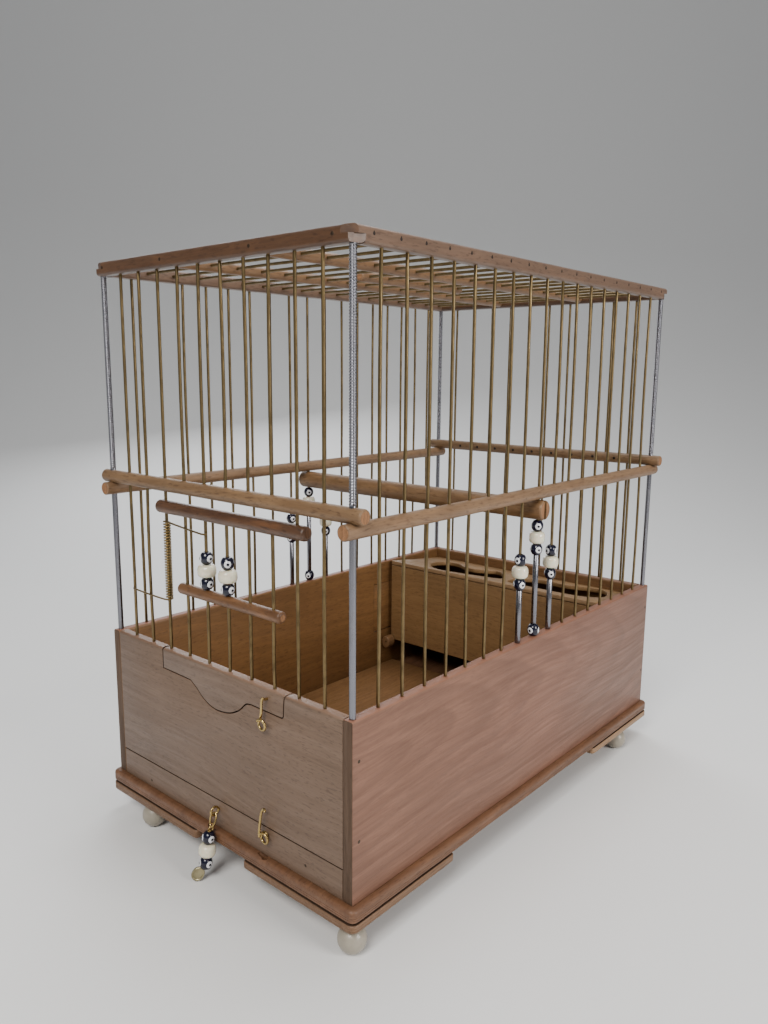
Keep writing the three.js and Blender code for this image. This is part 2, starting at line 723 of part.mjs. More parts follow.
// ---------------------------------------------------------------- feeder
{
  const top = (y) => 0.5 - FEEDER_SLOPE * (y - FEEDER_Y);
  const backY = inY - FIT;
  put("feeder_front", box(-71.8, endX, FEEDER_Y, FEEDER_Y + 3, -53.5, top(FEEDER_Y + 3) - 2.6), "dark_wood");
  let board = extrudeSide(
    [
      [FEEDER_Y, top(FEEDER_Y)],
      [FEEDER_Y, top(FEEDER_Y) - 2.5],
      [backY, top(backY) - 2.5],
      [backY, top(backY)],
    ],
    -71.8,
    endX,
  );
  const closed = (pts) =>
    new THREE.CatmullRomCurve3(
      pts.map(([x, y]) => new THREE.Vector3(x, y, 0)),
      true,
      "centripetal",
    )
      .getPoints(28)
      .slice(0, -1)
      .map((p) => [p.x, p.y]);
  const one = closed([
    [-37, 74.2],
    [-50, 84],
    [-56, 98],
    [-54, 110],
    [-46, 110.5],
    [-35, 103],
    [-26, 101.5],
    [-15, 112],
    [-6, 103],
    [3.5, 86],
    [-8, 80.5],
    [-22, 76],
  ]);
  const two = closed([
    [12.6, 79.5],
    [8.5, 92],
    [9, 103],
    [14, 110],
    [23, 111.5],
    [35, 110.5],
    [47, 117.5],
    [57, 117.5],
    [64.5, 106],
    [68, 92],
    [61, 82.5],
    [48, 79.6],
    [28, 79.4],
  ]);
  board = cut(board, [extrudeUp(one.reverse(), -20, 10), extrudeUp(two.reverse(), -20, 10)]);
  put("feeder_top", board, "dark_wood");
  put("feeder_bottom", box(-71.8, endX, FEEDER_Y + 3 + FIT, backY, -49.6, -46.6), "dark_wood");
}
{
  // seed drawer: a face in the left wall and a trough behind it
  const f = 0.3;
  let d = box(-outX + 0.1, -inX - 0.1, DRAWER.y0 + f, DRAWER.y1 - f, DRAWER.z0 + f, DRAWER.z1 - f);
  d = d.add(box(-75, 70, 75.2, 117.2, DRAWER.z0 + f, -16));
  d = cut(d, [box(-72.6, 67.6, 77.6, 114.8, DRAWER.z0 + f + 2.4, -10)]);
  d = cut(d, [rodX(-outX - 1, -76.5, 87, -21, 4.5, 16)]); // finger recess
  put("seed_drawer", d, "panel_wood");
}
{
  // rounded lug on the left wall beside the feeder
  const pts = [
    [-74.4, -58.3],
    [-71.6, -58.3],
    [-69.4, -57.2],
    [-68.3, -55.3],
    [-68.3, -53.2],
    [-69.4, -51.2],
    [-71.6, -50.2],
    [-74.4, -50.2],
  ];
  put(
    "feeder_lug",
    cut(extrudeFront(pts, 63.8, 70.2), [rodY(-70.7, 60, 66.5, -53.6, 0.7, 8)]),
    "rail_wood",
  );
}

export default cage;
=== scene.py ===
import bpy
import bmesh
import math
import random
import numpy as np
from mathutils import Matrix, Vector, noise

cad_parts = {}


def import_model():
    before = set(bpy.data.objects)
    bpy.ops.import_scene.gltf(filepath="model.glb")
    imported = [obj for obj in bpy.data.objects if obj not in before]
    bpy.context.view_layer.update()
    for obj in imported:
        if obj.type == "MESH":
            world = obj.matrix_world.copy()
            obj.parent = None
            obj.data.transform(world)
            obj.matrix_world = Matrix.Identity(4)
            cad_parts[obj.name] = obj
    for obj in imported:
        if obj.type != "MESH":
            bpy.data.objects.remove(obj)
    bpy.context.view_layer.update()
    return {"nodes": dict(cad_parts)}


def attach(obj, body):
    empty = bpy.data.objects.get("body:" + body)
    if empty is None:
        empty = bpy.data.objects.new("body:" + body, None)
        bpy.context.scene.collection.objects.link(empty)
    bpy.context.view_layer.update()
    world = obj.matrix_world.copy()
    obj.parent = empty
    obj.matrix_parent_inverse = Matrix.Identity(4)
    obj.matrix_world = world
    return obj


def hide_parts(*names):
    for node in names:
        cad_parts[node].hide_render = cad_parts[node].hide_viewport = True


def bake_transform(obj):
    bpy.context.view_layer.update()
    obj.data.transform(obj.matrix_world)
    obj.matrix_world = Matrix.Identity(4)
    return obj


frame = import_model()

# Millimetres in this script are measured as in the construction: X and Y from the middle of the wire planes,
# Z from the top edge of the base panels.
SY, LV = 5.05, 93.75
HX, HY, PITCH = 77.0, 126.0, 14.0
FRONT_X = [-HX + PITCH * (i + 1) for i in range(10)]
SIDE_Y = [-HY + PITCH * (i + 1) for i in range(17)]
ROOF_Y = [-HY + PITCH / 2 + PITCH * i for i in range(18)]


def P(x, y, z):
    return Vector((x / 1000.0, (y + SY) / 1000.0, (z + LV) / 1000.0))


# ------------------------------------------------------------------ camera
cam_data = bpy.data.cameras.new("camera")
cam = bpy.data.objects.new("camera", cam_data)
bpy.context.scene.collection.objects.link(cam)
bpy.context.scene.camera = cam
cam_data.sensor_width = 36.0
cam_data.sensor_fit = "AUTO"
cam_data.lens = 28.08
cam_data.clip_start = 0.01
yaw, pitch, roll = math.radians(130.92), math.radians(-9.89), math.radians(0.47)
fwd = Vector((math.cos(yaw) * math.cos(pitch), math.sin(yaw) * math.cos(pitch), math.sin(pitch)))
right = Vector((math.sin(yaw), -math.cos(yaw), 0))
up = right.cross(fwd)
r2 = math.cos(roll) * right + math.sin(roll) * up
u2 = -math.sin(roll) * right + math.cos(roll) * up
m = Matrix((r2, u2, -fwd)).transposed().to_4x4()
m.translation = P(263.0, -324.1, 123.4)
cam.matrix_world = m

# ------------------------------------------------------------------ light, floor
world = bpy.data.worlds.new("studio")
bpy.context.scene.world = world
world.use_nodes = True
bg = world.node_tree.nodes["Background"]
bg.inputs[0].default_value = (0.80, 0.83, 0.88, 1)
bg.inputs[1].default_value = 0.27


def area(name, loc, target, size, power, color=(1, 1, 1)):
    d = bpy.data.lights.new(name, "AREA")
    d.shape = "RECTANGLE"
    d.size, d.size_y = size
    d.energy = power
    d.color = color
    o = bpy.data.objects.new(name, d)
    bpy.context.scene.collection.objects.link(o)
    o.location = Vector(loc)
    o.rotation_euler = (Vector(target) - Vector(loc)).to_track_quat("-Z", "Y").to_euler()
    return o


area("key", (0.25, -0.75, 0.75), (0, 0, 0.1), (0.45, 0.35), 8.5, (1.0, 0.97, 0.93))
area("side", (0.95, 0.05, 0.45), (0, 0, 0.1), (0.4, 0.4), 7.0, (1.0, 0.97, 0.94))
area("top", (-0.1, 0.25, 0.95), (0, 0, 0.1), (0.55, 0.55), 5.2, (0.97, 0.98, 1.0))
area("back", (-0.8, 0.5, 0.5), (0, 0, 0.12), (0.5, 0.5), 3.2, (0.95, 0.97, 1.0))

bm = bmesh.new()
S = 6.0
rows = []
prof = [(-S, 0.0), (0.5, 0.0)] + [(0.5 + 1.3 * math.sin(a), 1.3 - 1.3 * math.cos(a)) for a in np.linspace(0.05, math.pi / 2, 24)] + [(1.8, 6.0)]
# the sweep rises behind the object as the camera sees it
back = Vector((fwd.x, fwd.y, 0)).normalized()
side = Vector((-back.y, back.x, 0))
for d, h in prof:
    rows.append([bm.verts.new(back * d + side * w + Vector((0, 0, h - 0.0002))) for w in (-S, S)])
for a, b in zip(rows[:-1], rows[1:]):
    bm.faces.new((a[0], a[1], b[1], b[0]))
bmesh.ops.recalc_face_normals(bm, faces=bm.faces)
fm = bpy.data.meshes.new("floor")
bm.to_mesh(fm)
bm.free()
floor = bpy.data.objects.new("floor", fm)
bpy.context.scene.collection.objects.link(floor)
for p in fm.polygons:
    p.use_smooth = True
fmat = bpy.data.materials.new("floor")
fmat.use_nodes = True
fmat.node_tree.nodes["Principled BSDF"].inputs["Base Color"].default_value = (0.80, 0.80, 0.79, 1)
fmat.node_tree.nodes["Principled BSDF"].inputs["Roughness"].default_value = 0.75
fm.materials.append(fmat)


# ------------------------------------------------------------------ materials
class Net:
    """A small helper for building node trees."""

    def __init__(self, name):
        self.m = bpy.data.materials.new(name)
        self.m.use_nodes = True
        self.t = self.m.node_tree
        self.bsdf = self.t.nodes["Principled BSDF"]
        self.coord = self.t.nodes.new("ShaderNodeTexCoord")

    def new(self, kind, **props):
        n = self.t.nodes.new(kind)
        for k, v in props.items():
            setattr(n, k, v)
        return n

    def link(self, a, b):
        self.t.links.new(a, b)

    def val(self, socket, v):
        if isinstance(v, bpy.types.NodeSocket):
            self.link(v, socket)
        else:
            socket.default_value = v

    def mapping(self, scale, loc=(0, 0, 0), rot=(0, 0, 0), src=None):
        n = self.new("ShaderNodeMapping")
        n.inputs["Scale"].default_value = scale
        n.inputs["Location"].default_value = loc
        n.inputs["Rotation"].default_value = rot
        self.link(src or self.coord.outputs["Object"], n.inputs["Vector"])
        return n.outputs[0]

    def noise(self, vec, scale=1.0, detail=2.0, rough=0.5, distort=0.0):
        n = self.new("ShaderNodeTexNoise")
        n.inputs["Scale"].default_value = scale
        n.inputs["Detail"].default_value = detail
        n.inputs["Roughness"].default_value = rough
        n.inputs["Distortion"].default_value = distort
        self.link(vec, n.inputs["Vector"])
        return n.outputs["Fac"]

    def ramp(self, fac, stops, interp="LINEAR"):
        n = self.new("ShaderNodeValToRGB")
        cr = n.color_ramp
        cr.interpolation = interp
        while len(cr.elements) > 1:
            cr.elements.remove(cr.elements[-1])
        cr.elements[0].position = stops[0][0]
        c = stops[0][1]
        cr.elements[0].color = c if len(c) == 4 else (*c, 1)
        for pos, c in stops[1:]:
            e = cr.elements.new(pos)
            e.color = c if len(c) == 4 else (*c, 1)
        self.link(fac, n.inputs[0])
        return n.outputs[0]

    def grey(self, fac, a, b, va=0.0, vb=1.0):
        """fac from a..b remapped to va..vb, clamped."""
        n = self.new("ShaderNodeMapRange")
        n.inputs["From Min"].default_value = a
        n.inputs["From Max"].default_value = b
        n.inputs["To Min"].default_value = va
        n.inputs["To Max"].default_value = vb
        self.link(fac, n.inputs["Value"])
        return n.outputs[0]

    def mix(self, fac, a, b, mode="MIX"):
        n = self.new("ShaderNodeMix", data_type="RGBA", blend_type=mode)
        self.val(n.inputs[0], fac)
        for s, v in ((n.inputs[6], a), (n.inputs[7], b)):
            if isinstance(v, bpy.types.NodeSocket):
                self.link(v, s)
            else:
                s.default_value = (*v, 1) if len(v) == 3 else v
        return n.outputs[2]

    def math(self, op, a, b=0.0, c=0.0):
        n = self.new("ShaderNodeMath", operation=op)
        self.val(n.inputs[0], a)
        self.val(n.inputs[1], b)
        self.val(n.inputs[2], c)
        return n.outputs[0]

    def vec(self, x, y, z):
        n = self.new("ShaderNodeCombineXYZ")
        for s, v in zip(n.inputs, (x, y, z)):
            self.val(s, v)
        return n.outputs[0]

    def xyz(self, src=None):
        n = self.new("ShaderNodeSeparateXYZ")
        self.link(src or self.coord.outputs["Object"], n.inputs[0])
        return n.outputs

    def normal_z(self):
        n = self.new("ShaderNodeSeparateXYZ")
        g = self.new("ShaderNodeNewGeometry")
        self.link(g.outputs["Normal"], n.inputs[0])
        return n.outputs[2]

    def bump(self, height, strength, distance, normal=None):
        n = self.new("ShaderNodeBump")
        n.inputs["Strength"].default_value = strength
        n.inputs["Distance"].default_value = distance
        self.link(height, n.inputs["Height"])
        if normal:
            self.link(normal, n.inputs["Normal"])
        return n.outputs[0]

    def out(self, color=None, rough=None, normal=None, **sockets):
        if color is not None:
            self.val(self.bsdf.inputs["Base Color"], color if isinstance(color, bpy.types.NodeSocket) else (*color, 1))
        if rough is not None:
            self.val(self.bsdf.inputs["Roughness"], rough)
        if normal is not None:
            self.link(normal, self.bsdf.inputs["Normal"])
        for k, v in sockets.items():
            self.bsdf.inputs[k.replace("_", " ")].default_value = v
        return self.m


def lin(rgb):
    out = []
    for c in rgb:
        c /= 255.0
        out.append(c / 12.92 if c <= 0.04045 else ((c + 0.055) / 1.055) ** 2.4)
    return tuple(out)


def wood(name, rgb, grain="Y", seed=0.0, rings=0.0, ring_c=(0, 0), ring_k=0.22, fig=0.6, contrast=0.22, fleck=0.5,
         rough=0.5, coat=0.12, painted_top_light_and_sanding=0.0, streak=1.0, fine=1.0, blotch=0.10, warm=0.0, mottle=0.0, lines=0.5, fleck_size=1.0):
    """Beech-like wood with its grain along one axis. rgb is the sRGB colour of the middle tone."""
    n = Net(name)
    base = np.array(lin(rgb))
    dark = tuple(base * (1 - contrast) * np.array((0.97, 0.91, 0.84)))
    light = tuple(np.minimum(base * (1 + contrast * 0.7) * np.array((1.02, 1.0, 0.97)), 1))
    deep = tuple(base * np.array((0.34, 0.27, 0.22)))
    brown = tuple(base * np.array((0.50, 0.40, 0.30)))
    ax = "XYZ".index(grain)

    def stretch(across, along):
        q = [across] * 3
        q[ax] = along
        return tuple(q)

    # slow wander of the fibres
    wander = n.new("ShaderNodeTexNoise")
    wander.inputs["Scale"].default_value = 1.0
    wander.inputs["Detail"].default_value = 1.5
    n.link(n.mapping(stretch(14, 9), loc=(seed, seed * 1.7, seed * 0.6)), wander.inputs["Vector"])
    off = n.new("ShaderNodeVectorMath", operation="SUBTRACT")
    n.link(wander.outputs["Color"], off.inputs[0])
    off.inputs[1].default_value = (0.5, 0.5, 0.5)
    sc = n.new("ShaderNodeVectorMath", operation="SCALE")
    n.link(off.outputs[0], sc.inputs[0])
    sc.inputs["Scale"].default_value = 0.014
    warped = n.new("ShaderNodeVectorMath", operation="ADD")
    n.link(n.coord.outputs["Object"], warped.inputs[0])
    n.link(sc.outputs[0], warped.inputs[1])
    wp = warped.outputs[0]

    # growth figure: nested arches on the wide boards, long streaks on the narrow ones
    if rings > 0:
        x = n.xyz(wp)
        ai = 2 if ax != 2 else 0
        a = n.math("SUBTRACT", x[ai], ring_c[1])
        l = n.math("MULTIPLY", n.math("SUBTRACT", x[ax], ring_c[0]), ring_k)
        r = n.math("SQRT", n.math("ADD", n.math("MULTIPLY", a, a), n.math("MULTIPLY", l, l)))
        jit = n.noise(n.mapping(stretch(34, 6), loc=(seed + 3, 0, 0)), 1.0, 2.0, 0.5)
        ph = n.math("ADD", n.math("MULTIPLY", r, rings), n.math("MULTIPLY", jit, 1.6))
        q = n.math("FRACT", ph)
        figure = n.math("MULTIPLY", n.math("POWER", q, 1.5), n.grey(q, 0.86, 1.0, 1.0, 0.0))
        weight = n.noise(n.mapping((14, 9, 14), loc=(seed, 5, 1)), 1.0, 1.0, 0.5)
        figure = n.math("MULTIPLY", figure, n.grey(weight, 0.3, 0.7, 0.35, 1.0))
    else:
        figure = n.grey(n.noise(n.mapping(stretch(150, 7), loc=(seed, 2, 5), src=wp), 1.0, 3.0, 0.6), 0.32, 0.68)
    streaks = n.noise(n.mapping(stretch(620, 13), loc=(seed * 2, 0, seed), src=wp), 1.0, 4.0, 0.62)
    fibres = n.noise(n.mapping(stretch(2600, 80), loc=(0, seed, 0), src=wp), 1.0, 3.0, 0.6)
    col = n.mix(n.math("MULTIPLY", figure, fig), light, dark)
    col = n.mix(n.grey(streaks, 0.34, 0.66, 0.0, 0.70 * streak), col, dark)
    grow = n.noise(n.mapping(stretch(330, 9), loc=(seed * 0.7, 3, 1), src=wp), 1.0, 3.0, 0.65)
    col = n.mix(n.grey(grow, 0.54, 0.66, 0.0, 0.5 * lines), col, brown)
    col = n.mix(n.grey(fibres, 0.40, 0.66, 0.0, 0.36 * fine), col, tuple(np.array(dark) * 0.78))
    # short dark flecks of the rays
    fl = n.noise(n.mapping(stretch(1250 * fleck_size, 210 * fleck_size * 1.2), loc=(seed, seed, 1), src=wp), 1.0, 2.0, 0.5)
    col = n.mix(n.grey(fl, 0.565, 0.66, 0.0, fleck), col, deep)
    fl2 = n.noise(n.mapping(stretch(1500, 260), loc=(9, seed, 4), src=wp), 1.0, 2.0, 0.5)
    col = n.mix(n.grey(fl2, 0.60, 0.70, 0.0, fleck * 0.5), col, light)
    if mottle:
        mo = n.noise(n.mapping(stretch(170, 38), loc=(seed, 11, 4), src=wp), 1.0, 3.0, 0.6)
        col = n.mix(n.grey(mo, 0.50, 0.66, 0.0, mottle), col, brown)
        mo2 = n.noise(n.mapping(stretch(210, 46), loc=(3, 1, seed), src=wp), 1.0, 2.0, 0.6)
        col = n.mix(n.grey(mo2, 0.56, 0.70, 0.0, mottle * 0.7), col, tuple(np.minimum(np.array(light) * np.array((1.25, 1.15, 1.0)), 1)))
    # uneven tone
    bl = n.noise(n.mapping((22, 22, 22), loc=(seed * 3, 7, 2)), 1.0, 2.0, 0.5)
    col = n.mix(n.grey(bl, 0.35, 0.68, 0.0, 1.0), n.mix(1.0, col, (1 - blotch, 1 - blotch * 1.1, 1 - blotch * 1.25), "MULTIPLY"),
                n.mix(1.0, col, (1 + blotch * 0.5, 1 + blotch * 0.45, 1 + blotch * 0.35), "MULTIPLY"))
    if warm:
        wn = n.noise(n.mapping((9, 9, 14), loc=(1, seed, 2)), 1.0, 1.0, 0.5)
        col = n.mix(n.grey(wn, 0.4, 0.65, 0.0, warm), col, n.mix(1.0, col, (1.07, 0.97, 0.96), "MULTIPLY"))
    # upward faces lighter: painted light from above, together with the paler freshly sanded top edges
    if painted_top_light_and_sanding:
        col = n.mix(n.grey(n.normal_z(), 0.30, 0.95, 0.0, painted_top_light_and_sanding), col, tuple(np.minimum(np.array(light) * np.array((1.30, 1.10, 0.98)), 1)))
    h = n.math("ADD", n.math("MULTIPLY", fibres, 0.5), n.math("MULTIPLY", n.grey(fl, 0.565, 0.66), -0.6))
    h = n.math("ADD", h, n.math("MULTIPLY", streaks, 0.6))
    nm = n.bump(h, 0.4, 0.00014)
    ro = n.grey(streaks, 0.3, 0.7, rough - 0.06, rough + 0.10)
    return n.out(col, ro, nm, Coat_Weight=coat, Coat_Roughness=0.35, Specular_IOR_Level=0.4)


def end_wood(name, rgb, seed=0.0, rings=900.0, centre=(0, 0, 0)):
    """Sawn end grain: arcs and open pores, darker than the face."""
    n = Net(name)
    base = np.array(lin(rgb))
    x = n.xyz()
    d = [n.math("SUBTRACT", x[i], centre[i]) for i in range(3)]
    r = n.math("SQRT", n.math("ADD", n.math("ADD", n.math("MULTIPLY", d[0], d[0]), n.math("MULTIPLY", d[1], d[1])), n.math("MULTIPLY", d[2], d[2])))
    jit = n.noise(n.mapping((500, 500, 500), loc=(seed, 0, 0)), 1.0, 3.0, 0.6)
    s = n.math("FRACT", n.math("ADD", n.math("MULTIPLY", r, rings), n.math("MULTIPLY", jit, 1.3)))
    col = n.mix(n.grey(s, 0.1, 0.95), tuple(base * 1.12), tuple(base * 0.72))
    pores = n.noise(n.mapping((4200, 4200, 4200), loc=(seed, 1, 1)), 1.0, 2.0, 0.5)
    col = n.mix(n.grey(pores, 0.56, 0.70, 0.0, 0.7), col, tuple(base * 0.35))
    nm = n.bump(n.math("ADD", pores, n.math("MULTIPLY", s, 0.4)), 0.45, 0.00015)
    return n.out(col, 0.68, nm, Specular_IOR_Level=0.3)


def metal(name, rgb, rough=0.3, scratch=0.12, axis="Z", tarnish=0.3, tarnish_rgb=None, seed=0.0):
    n = Net(name)
    base = np.array(lin(rgb))
    tr = tuple(np.array(lin(tarnish_rgb))) if tarnish_rgb else tuple(base * 0.5)
    ax = "XYZ".index(axis)
    s = [1500.0] * 3
    s[ax] = 60.0
    sc = n.noise(n.mapping(tuple(s), loc=(seed, 0, 0)), 1.0, 3.0, 0.6)
    spots = n.noise(n.mapping((260, 260, 150), loc=(seed, 3, 1)), 1.0, 3.0, 0.6)
    col = n.mix(n.grey(spots, 0.42, 0.68, 0.0, tarnish), tuple(base), tr)
    col = n.mix(n.grey(sc, 0.35, 0.7, 0.0, 0.25), col, tuple(base * 0.8))
    ro = n.math("ADD", n.grey(sc, 0.3, 0.7, rough - 0.06, rough + 0.10), n.grey(spots, 0.45, 0.7, 0.0, 0.12))
    nm = n.bump(sc, scratch, 0.00004)
    return n.out(col, ro, nm, Metallic=1.0)


def glass_bead(name, rgb, rough=0.12, var=0.15, coat=1.0, mottled=0.0, sss=0.0):
    n = Net(name)
    base = np.array(lin(rgb))
    a = n.noise(n.mapping((420, 420, 420)), 1.0, 2.0, 0.5)
    col = n.mix(n.grey(a, 0.35, 0.7), tuple(base * (1 - var)), tuple(np.minimum(base * (1 + var), 1)))
    if mottled:
        b = n.noise(n.mapping((1500, 1500, 1500)), 1.0, 3.0, 0.6)
        col = n.mix(n.grey(b, 0.55, 0.72, 0.0, mottled), col, tuple(base * 0.8))
    nm = n.bump(a, 0.12, 0.0002)
    ro = n.grey(a, 0.3, 0.7, rough, rough + 0.08)
    kw = dict(Coat_Weight=coat, Coat_Roughness=0.06)
    if sss:
        kw["Subsurface_Weight"] = sss
        kw["Subsurface_Scale"] = 0.001
    return n.out(col, ro, nm, **kw)


M = {}
M["front"] = wood("wood_front", (111, 91, 76), "X", seed=1.3, contrast=0.16, fleck=0.42, fleck_size=1.45, fig=0.5, rough=0.5, painted_top_light_and_sanding=0.6, blotch=0.07, lines=0.35)
M["tray"] = wood("wood_tray", (110, 90, 75), "X", seed=5.1, contrast=0.16, fleck=0.42, fleck_size=1.45, fig=0.5, rough=0.5, blotch=0.07, lines=0.35)
M["side"] = wood("wood_side", (126, 91, 74), "Y", seed=2.2, rings=150, ring_c=(-0.135, 0.073), ring_k=0.20, contrast=0.23, fig=1.0, fleck=0.14, fleck_size=1.3, rough=0.5, painted_top_light_and_sanding=0.4, warm=0.5, lines=0.55)
M["left"] = wood("wood_left", (124, 89, 72), "Y", seed=7.4, rings=150, ring_c=(0.12, 0.10), ring_k=0.16, contrast=0.18, fig=0.9, fleck=0.2, fleck_size=1.3, rough=0.5, painted_top_light_and_sanding=0.4, warm=0.5, lines=0.4)
M["rear"] = wood("wood_rear", (120, 93, 76), "X", seed=3.9, rings=140, ring_c=(0.02, 0.12), ring_k=0.2, contrast=0.17, fig=0.6, fleck=0.5, rough=0.5, painted_top_light_and_sanding=0.4)
M["inner_y"] = wood("wood_wall_y", (120, 87, 52), "Y", seed=17.3, rings=130, ring_c=(0.10, 0.11), ring_k=0.18, contrast=0.20, fig=0.7, fleck=0.45, rough=0.45, coat=0.2, lines=0.5, painted_top_light_and_sanding=0.2)
M["inner_x"] = wood("wood_wall_x", (118, 86, 53), "X", seed=18.3, contrast=0.20, fig=0.6, fleck=0.45, rough=0.45, coat=0.2, lines=0.5, painted_top_light_and_sanding=0.2)
# near-black wood used only as painted shade under the feeder
M["under"] = wood("wood_painted_shade_under_feeder", (22, 16, 12), "X", seed=18.9, contrast=0.3, fleck=0.2, rough=0.8, coat=0.0)
M["plate"] = wood("wood_plate", (112, 80, 58), "Y", seed=4.4, contrast=0.22, fleck=0.45, rough=0.5, coat=0.12, mottle=0.45)
M["strip"] = wood("wood_strip", (118, 90, 67), "Y", seed=6.6, contrast=0.20, fleck=0.4, rough=0.5)
M["strip_pale"] = wood("wood_strip_pale", (158, 128, 98), "Y", seed=6.9, contrast=0.18, fleck=0.3, rough=0.5)
M["rail_x"] = wood("wood_rail_x", (126, 100, 72), "X", seed=8.1, contrast=0.24, fleck=0.6, rough=0.5, coat=0.12, mottle=0.36)
M["rail_y"] = wood("wood_rail_y", (130, 104, 79), "Y", seed=9.2, contrast=0.24, fleck=0.6, rough=0.5, coat=0.12, mottle=0.28)
M["roof"] = wood("wood_roof", (126, 96, 66), "Y", seed=19.2, contrast=0.24, fleck=0.6, rough=0.46, coat=0.25, mottle=0.35)
M["perch"] = wood("wood_perch", (130, 101, 70), "X", seed=10.3, contrast=0.3, fleck=0.6, rough=0.5, mottle=0.5)
M["door_rail"] = wood("wood_door_rail", (92, 63, 41), "X", seed=11.5, contrast=0.42, fleck=0.8, rough=0.42, coat=0.3, mottle=0.8)
M["door_perch"] = wood("wood_door_perch", (110, 78, 50), "X", seed=12.5, contrast=0.26, fleck=0.65, rough=0.45, coat=0.25, mottle=0.6)
M["top_x"] = wood("wood_top_x", (86, 60, 39), "X", seed=13.1, contrast=0.30, fleck=0.6, rough=0.42, coat=0.3, mottle=0.55)
M["top_y"] = wood("wood_top_y", (112, 89, 73), "Y", seed=14.2, contrast=0.24, fleck=0.6, rough=0.44, coat=0.3, mottle=0.25)
M["inner"] = wood("wood_inner", (142, 112, 76), "X", seed=15.1, contrast=0.14, fleck=0.35, rough=0.5, lines=0.3)
M["lip"] = wood("wood_lip", (166, 137, 104), "X", seed=15.9, contrast=0.16, fleck=0.4, rough=0.5)
M["floor_in"] = wood("wood_floor_in", (132, 98, 62), "Y", seed=16.4, contrast=0.18, fleck=0.4, rough=0.55)
M["end"] = wood("wood_board_end", (88, 68, 52), "Z", seed=21.0, contrast=0.26, fleck=0.35, rough=0.65, coat=0.0, lines=0.9, streak=1.3)
# dark end grain for faces inside gaps and recesses: end grain darkened further with painted shade
M["seam"] = end_wood("wood_gap_end_grain_painted_shade", (56, 38, 25), seed=5.0, rings=300)
M["end_rail"] = end_wood("wood_end_rail", (140, 100, 68), seed=2.0, rings=800, centre=(0.004, 0, 0.16))
M["end_dark"] = end_wood("wood_end_dark", (92, 62, 40), seed=3.0, rings=700, centre=(0.01, 0.3, 0.2))
# near-black end grain for small holes: painted shade inside them
M["hole"] = end_wood("wood_hole", (34, 25, 19), seed=4.0, rings=500)
M["wire"] = metal("wire_brassy", (124, 106, 74), rough=0.36, tarnish=0.6, tarnish_rgb=(68, 57, 40), axis="Z", seed=1)
M["wire_x"] = metal("wire_brassy_x", (124, 106, 74), rough=0.36, tarnish=0.6, tarnish_rgb=(68, 57, 40), axis="X", seed=4)
M["steel"] = metal("steel_bright", (128, 128, 135), rough=0.22, tarnish=0.25, tarnish_rgb=(130, 128, 126), axis="Z", seed=2)
M["spring"] = metal("spring_brassy", (140, 118, 78), rough=0.3, tarnish=0.5, tarnish_rgb=(76, 62, 38), axis="X", seed=3)
M["brass"] = metal("brass_bright", (190, 164, 108), rough=0.22, tarnish=0.35, tarnish_rgb=(120, 96, 54), axis="Z", seed=5)
M["nail"] = metal("nail_dark", (78, 68, 58), rough=0.5, tarnish=0.6, tarnish_rgb=(58, 48, 38), axis="Z", seed=6)
M["navy"] = glass_bead("bead_navy", (7, 9, 34), rough=0.16, var=0.25, coat=0.15)
M["eye"] = glass_bead("bead_eye_white", (226, 226, 230), rough=0.12, var=0.04)
M["pupil"] = glass_bead("bead_pupil", (7, 9, 26), rough=0.10, var=0.2, coat=0.1)
M["ivory"] = glass_bead("bead_ivory", (226, 218, 192), rough=0.22, var=0.05, coat=0.6, mottled=0.12, sss=0.15)
M["foot"] = glass_bead("foot_cream", (150, 142, 127), rough=0.38, var=0.05, coat=0.25, mottled=0.15)
M["medal"] = metal("medal_worn", (178, 168, 134), rough=0.34, tarnish=0.6, tarnish_rgb=(120, 112, 84), axis="Z", seed=8)


# ------------------------------------------------------------------ mesh helpers (input in construction mm)
def obj(name, verts, faces, mats, body, replaces=(), smooth=True, mat_index=None, angle=None):
    me = bpy.data.meshes.new(name)
    vs = [(v[0] / 1000.0, (v[1] + SY) / 1000.0, (v[2] + LV) / 1000.0) for v in verts]
    me.from_pydata(vs, [], faces)
    me.validate()
    o = bpy.data.objects.new(name, me)
    bpy.context.scene.collection.objects.link(o)
    for mm in mats if isinstance(mats, (list, tuple)) else [mats]:
        me.materials.append(mm)
    bm = bmesh.new()
    bm.from_mesh(me)
    bmesh.ops.remove_doubles(bm, verts=bm.verts, dist=1e-7)
    bmesh.ops.recalc_face_normals(bm, faces=bm.faces)
    bm.to_mesh(me)
    bm.free()
    if mat_index is not None:
        for p in me.polygons:
            p.material_index = mat_index(p)
    for p in me.polygons:
        p.use_smooth = smooth
    if smooth and angle:
        me.set_sharp_from_angle(angle=math.radians(angle))
    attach(o, body)
    if replaces:
        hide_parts(*replaces)
    return o


class Geo:
    """Collects several pieces into one mesh."""

    def __init__(self):
        self.v, self.f, self.m = [], [], []

    def add(self, verts, faces, mat=0):
        k = len(self.v)
        self.v.extend([tuple(v) for v in verts])
        self.f.extend([tuple(i + k for i in f) for f in faces])
        self.m.extend([mat] * len(faces))

    def make(self, name, mats, body, replaces=(), slot=None, angle=None, smooth=True):
        me_m = list(self.m)
        me = bpy.data.meshes.new(name)
        me.from_pydata([(v[0] / 1000.0, (v[1] + SY) / 1000.0, (v[2] + LV) / 1000.0) for v in self.v], [], self.f)
        o = bpy.data.objects.new(name, me)
        bpy.context.scene.collection.objects.link(o)
        for mm in mats if isinstance(mats, (list, tuple)) else [mats]:
            me.materials.append(mm)
        me.polygons.foreach_set("material_index", me_m)
        me.polygons.foreach_set("use_smooth", [smooth] * len(me_m))
        bm = bmesh.new()
        bm.from_mesh(me)
        bmesh.ops.recalc_face_normals(bm, faces=bm.faces)
        bm.to_mesh(me)
        bm.free()
        if smooth and angle:
            me.set_sharp_from_angle(angle=math.radians(angle))
        if body:
            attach(o, body)
        if replaces:
            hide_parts(*replaces)
        return o


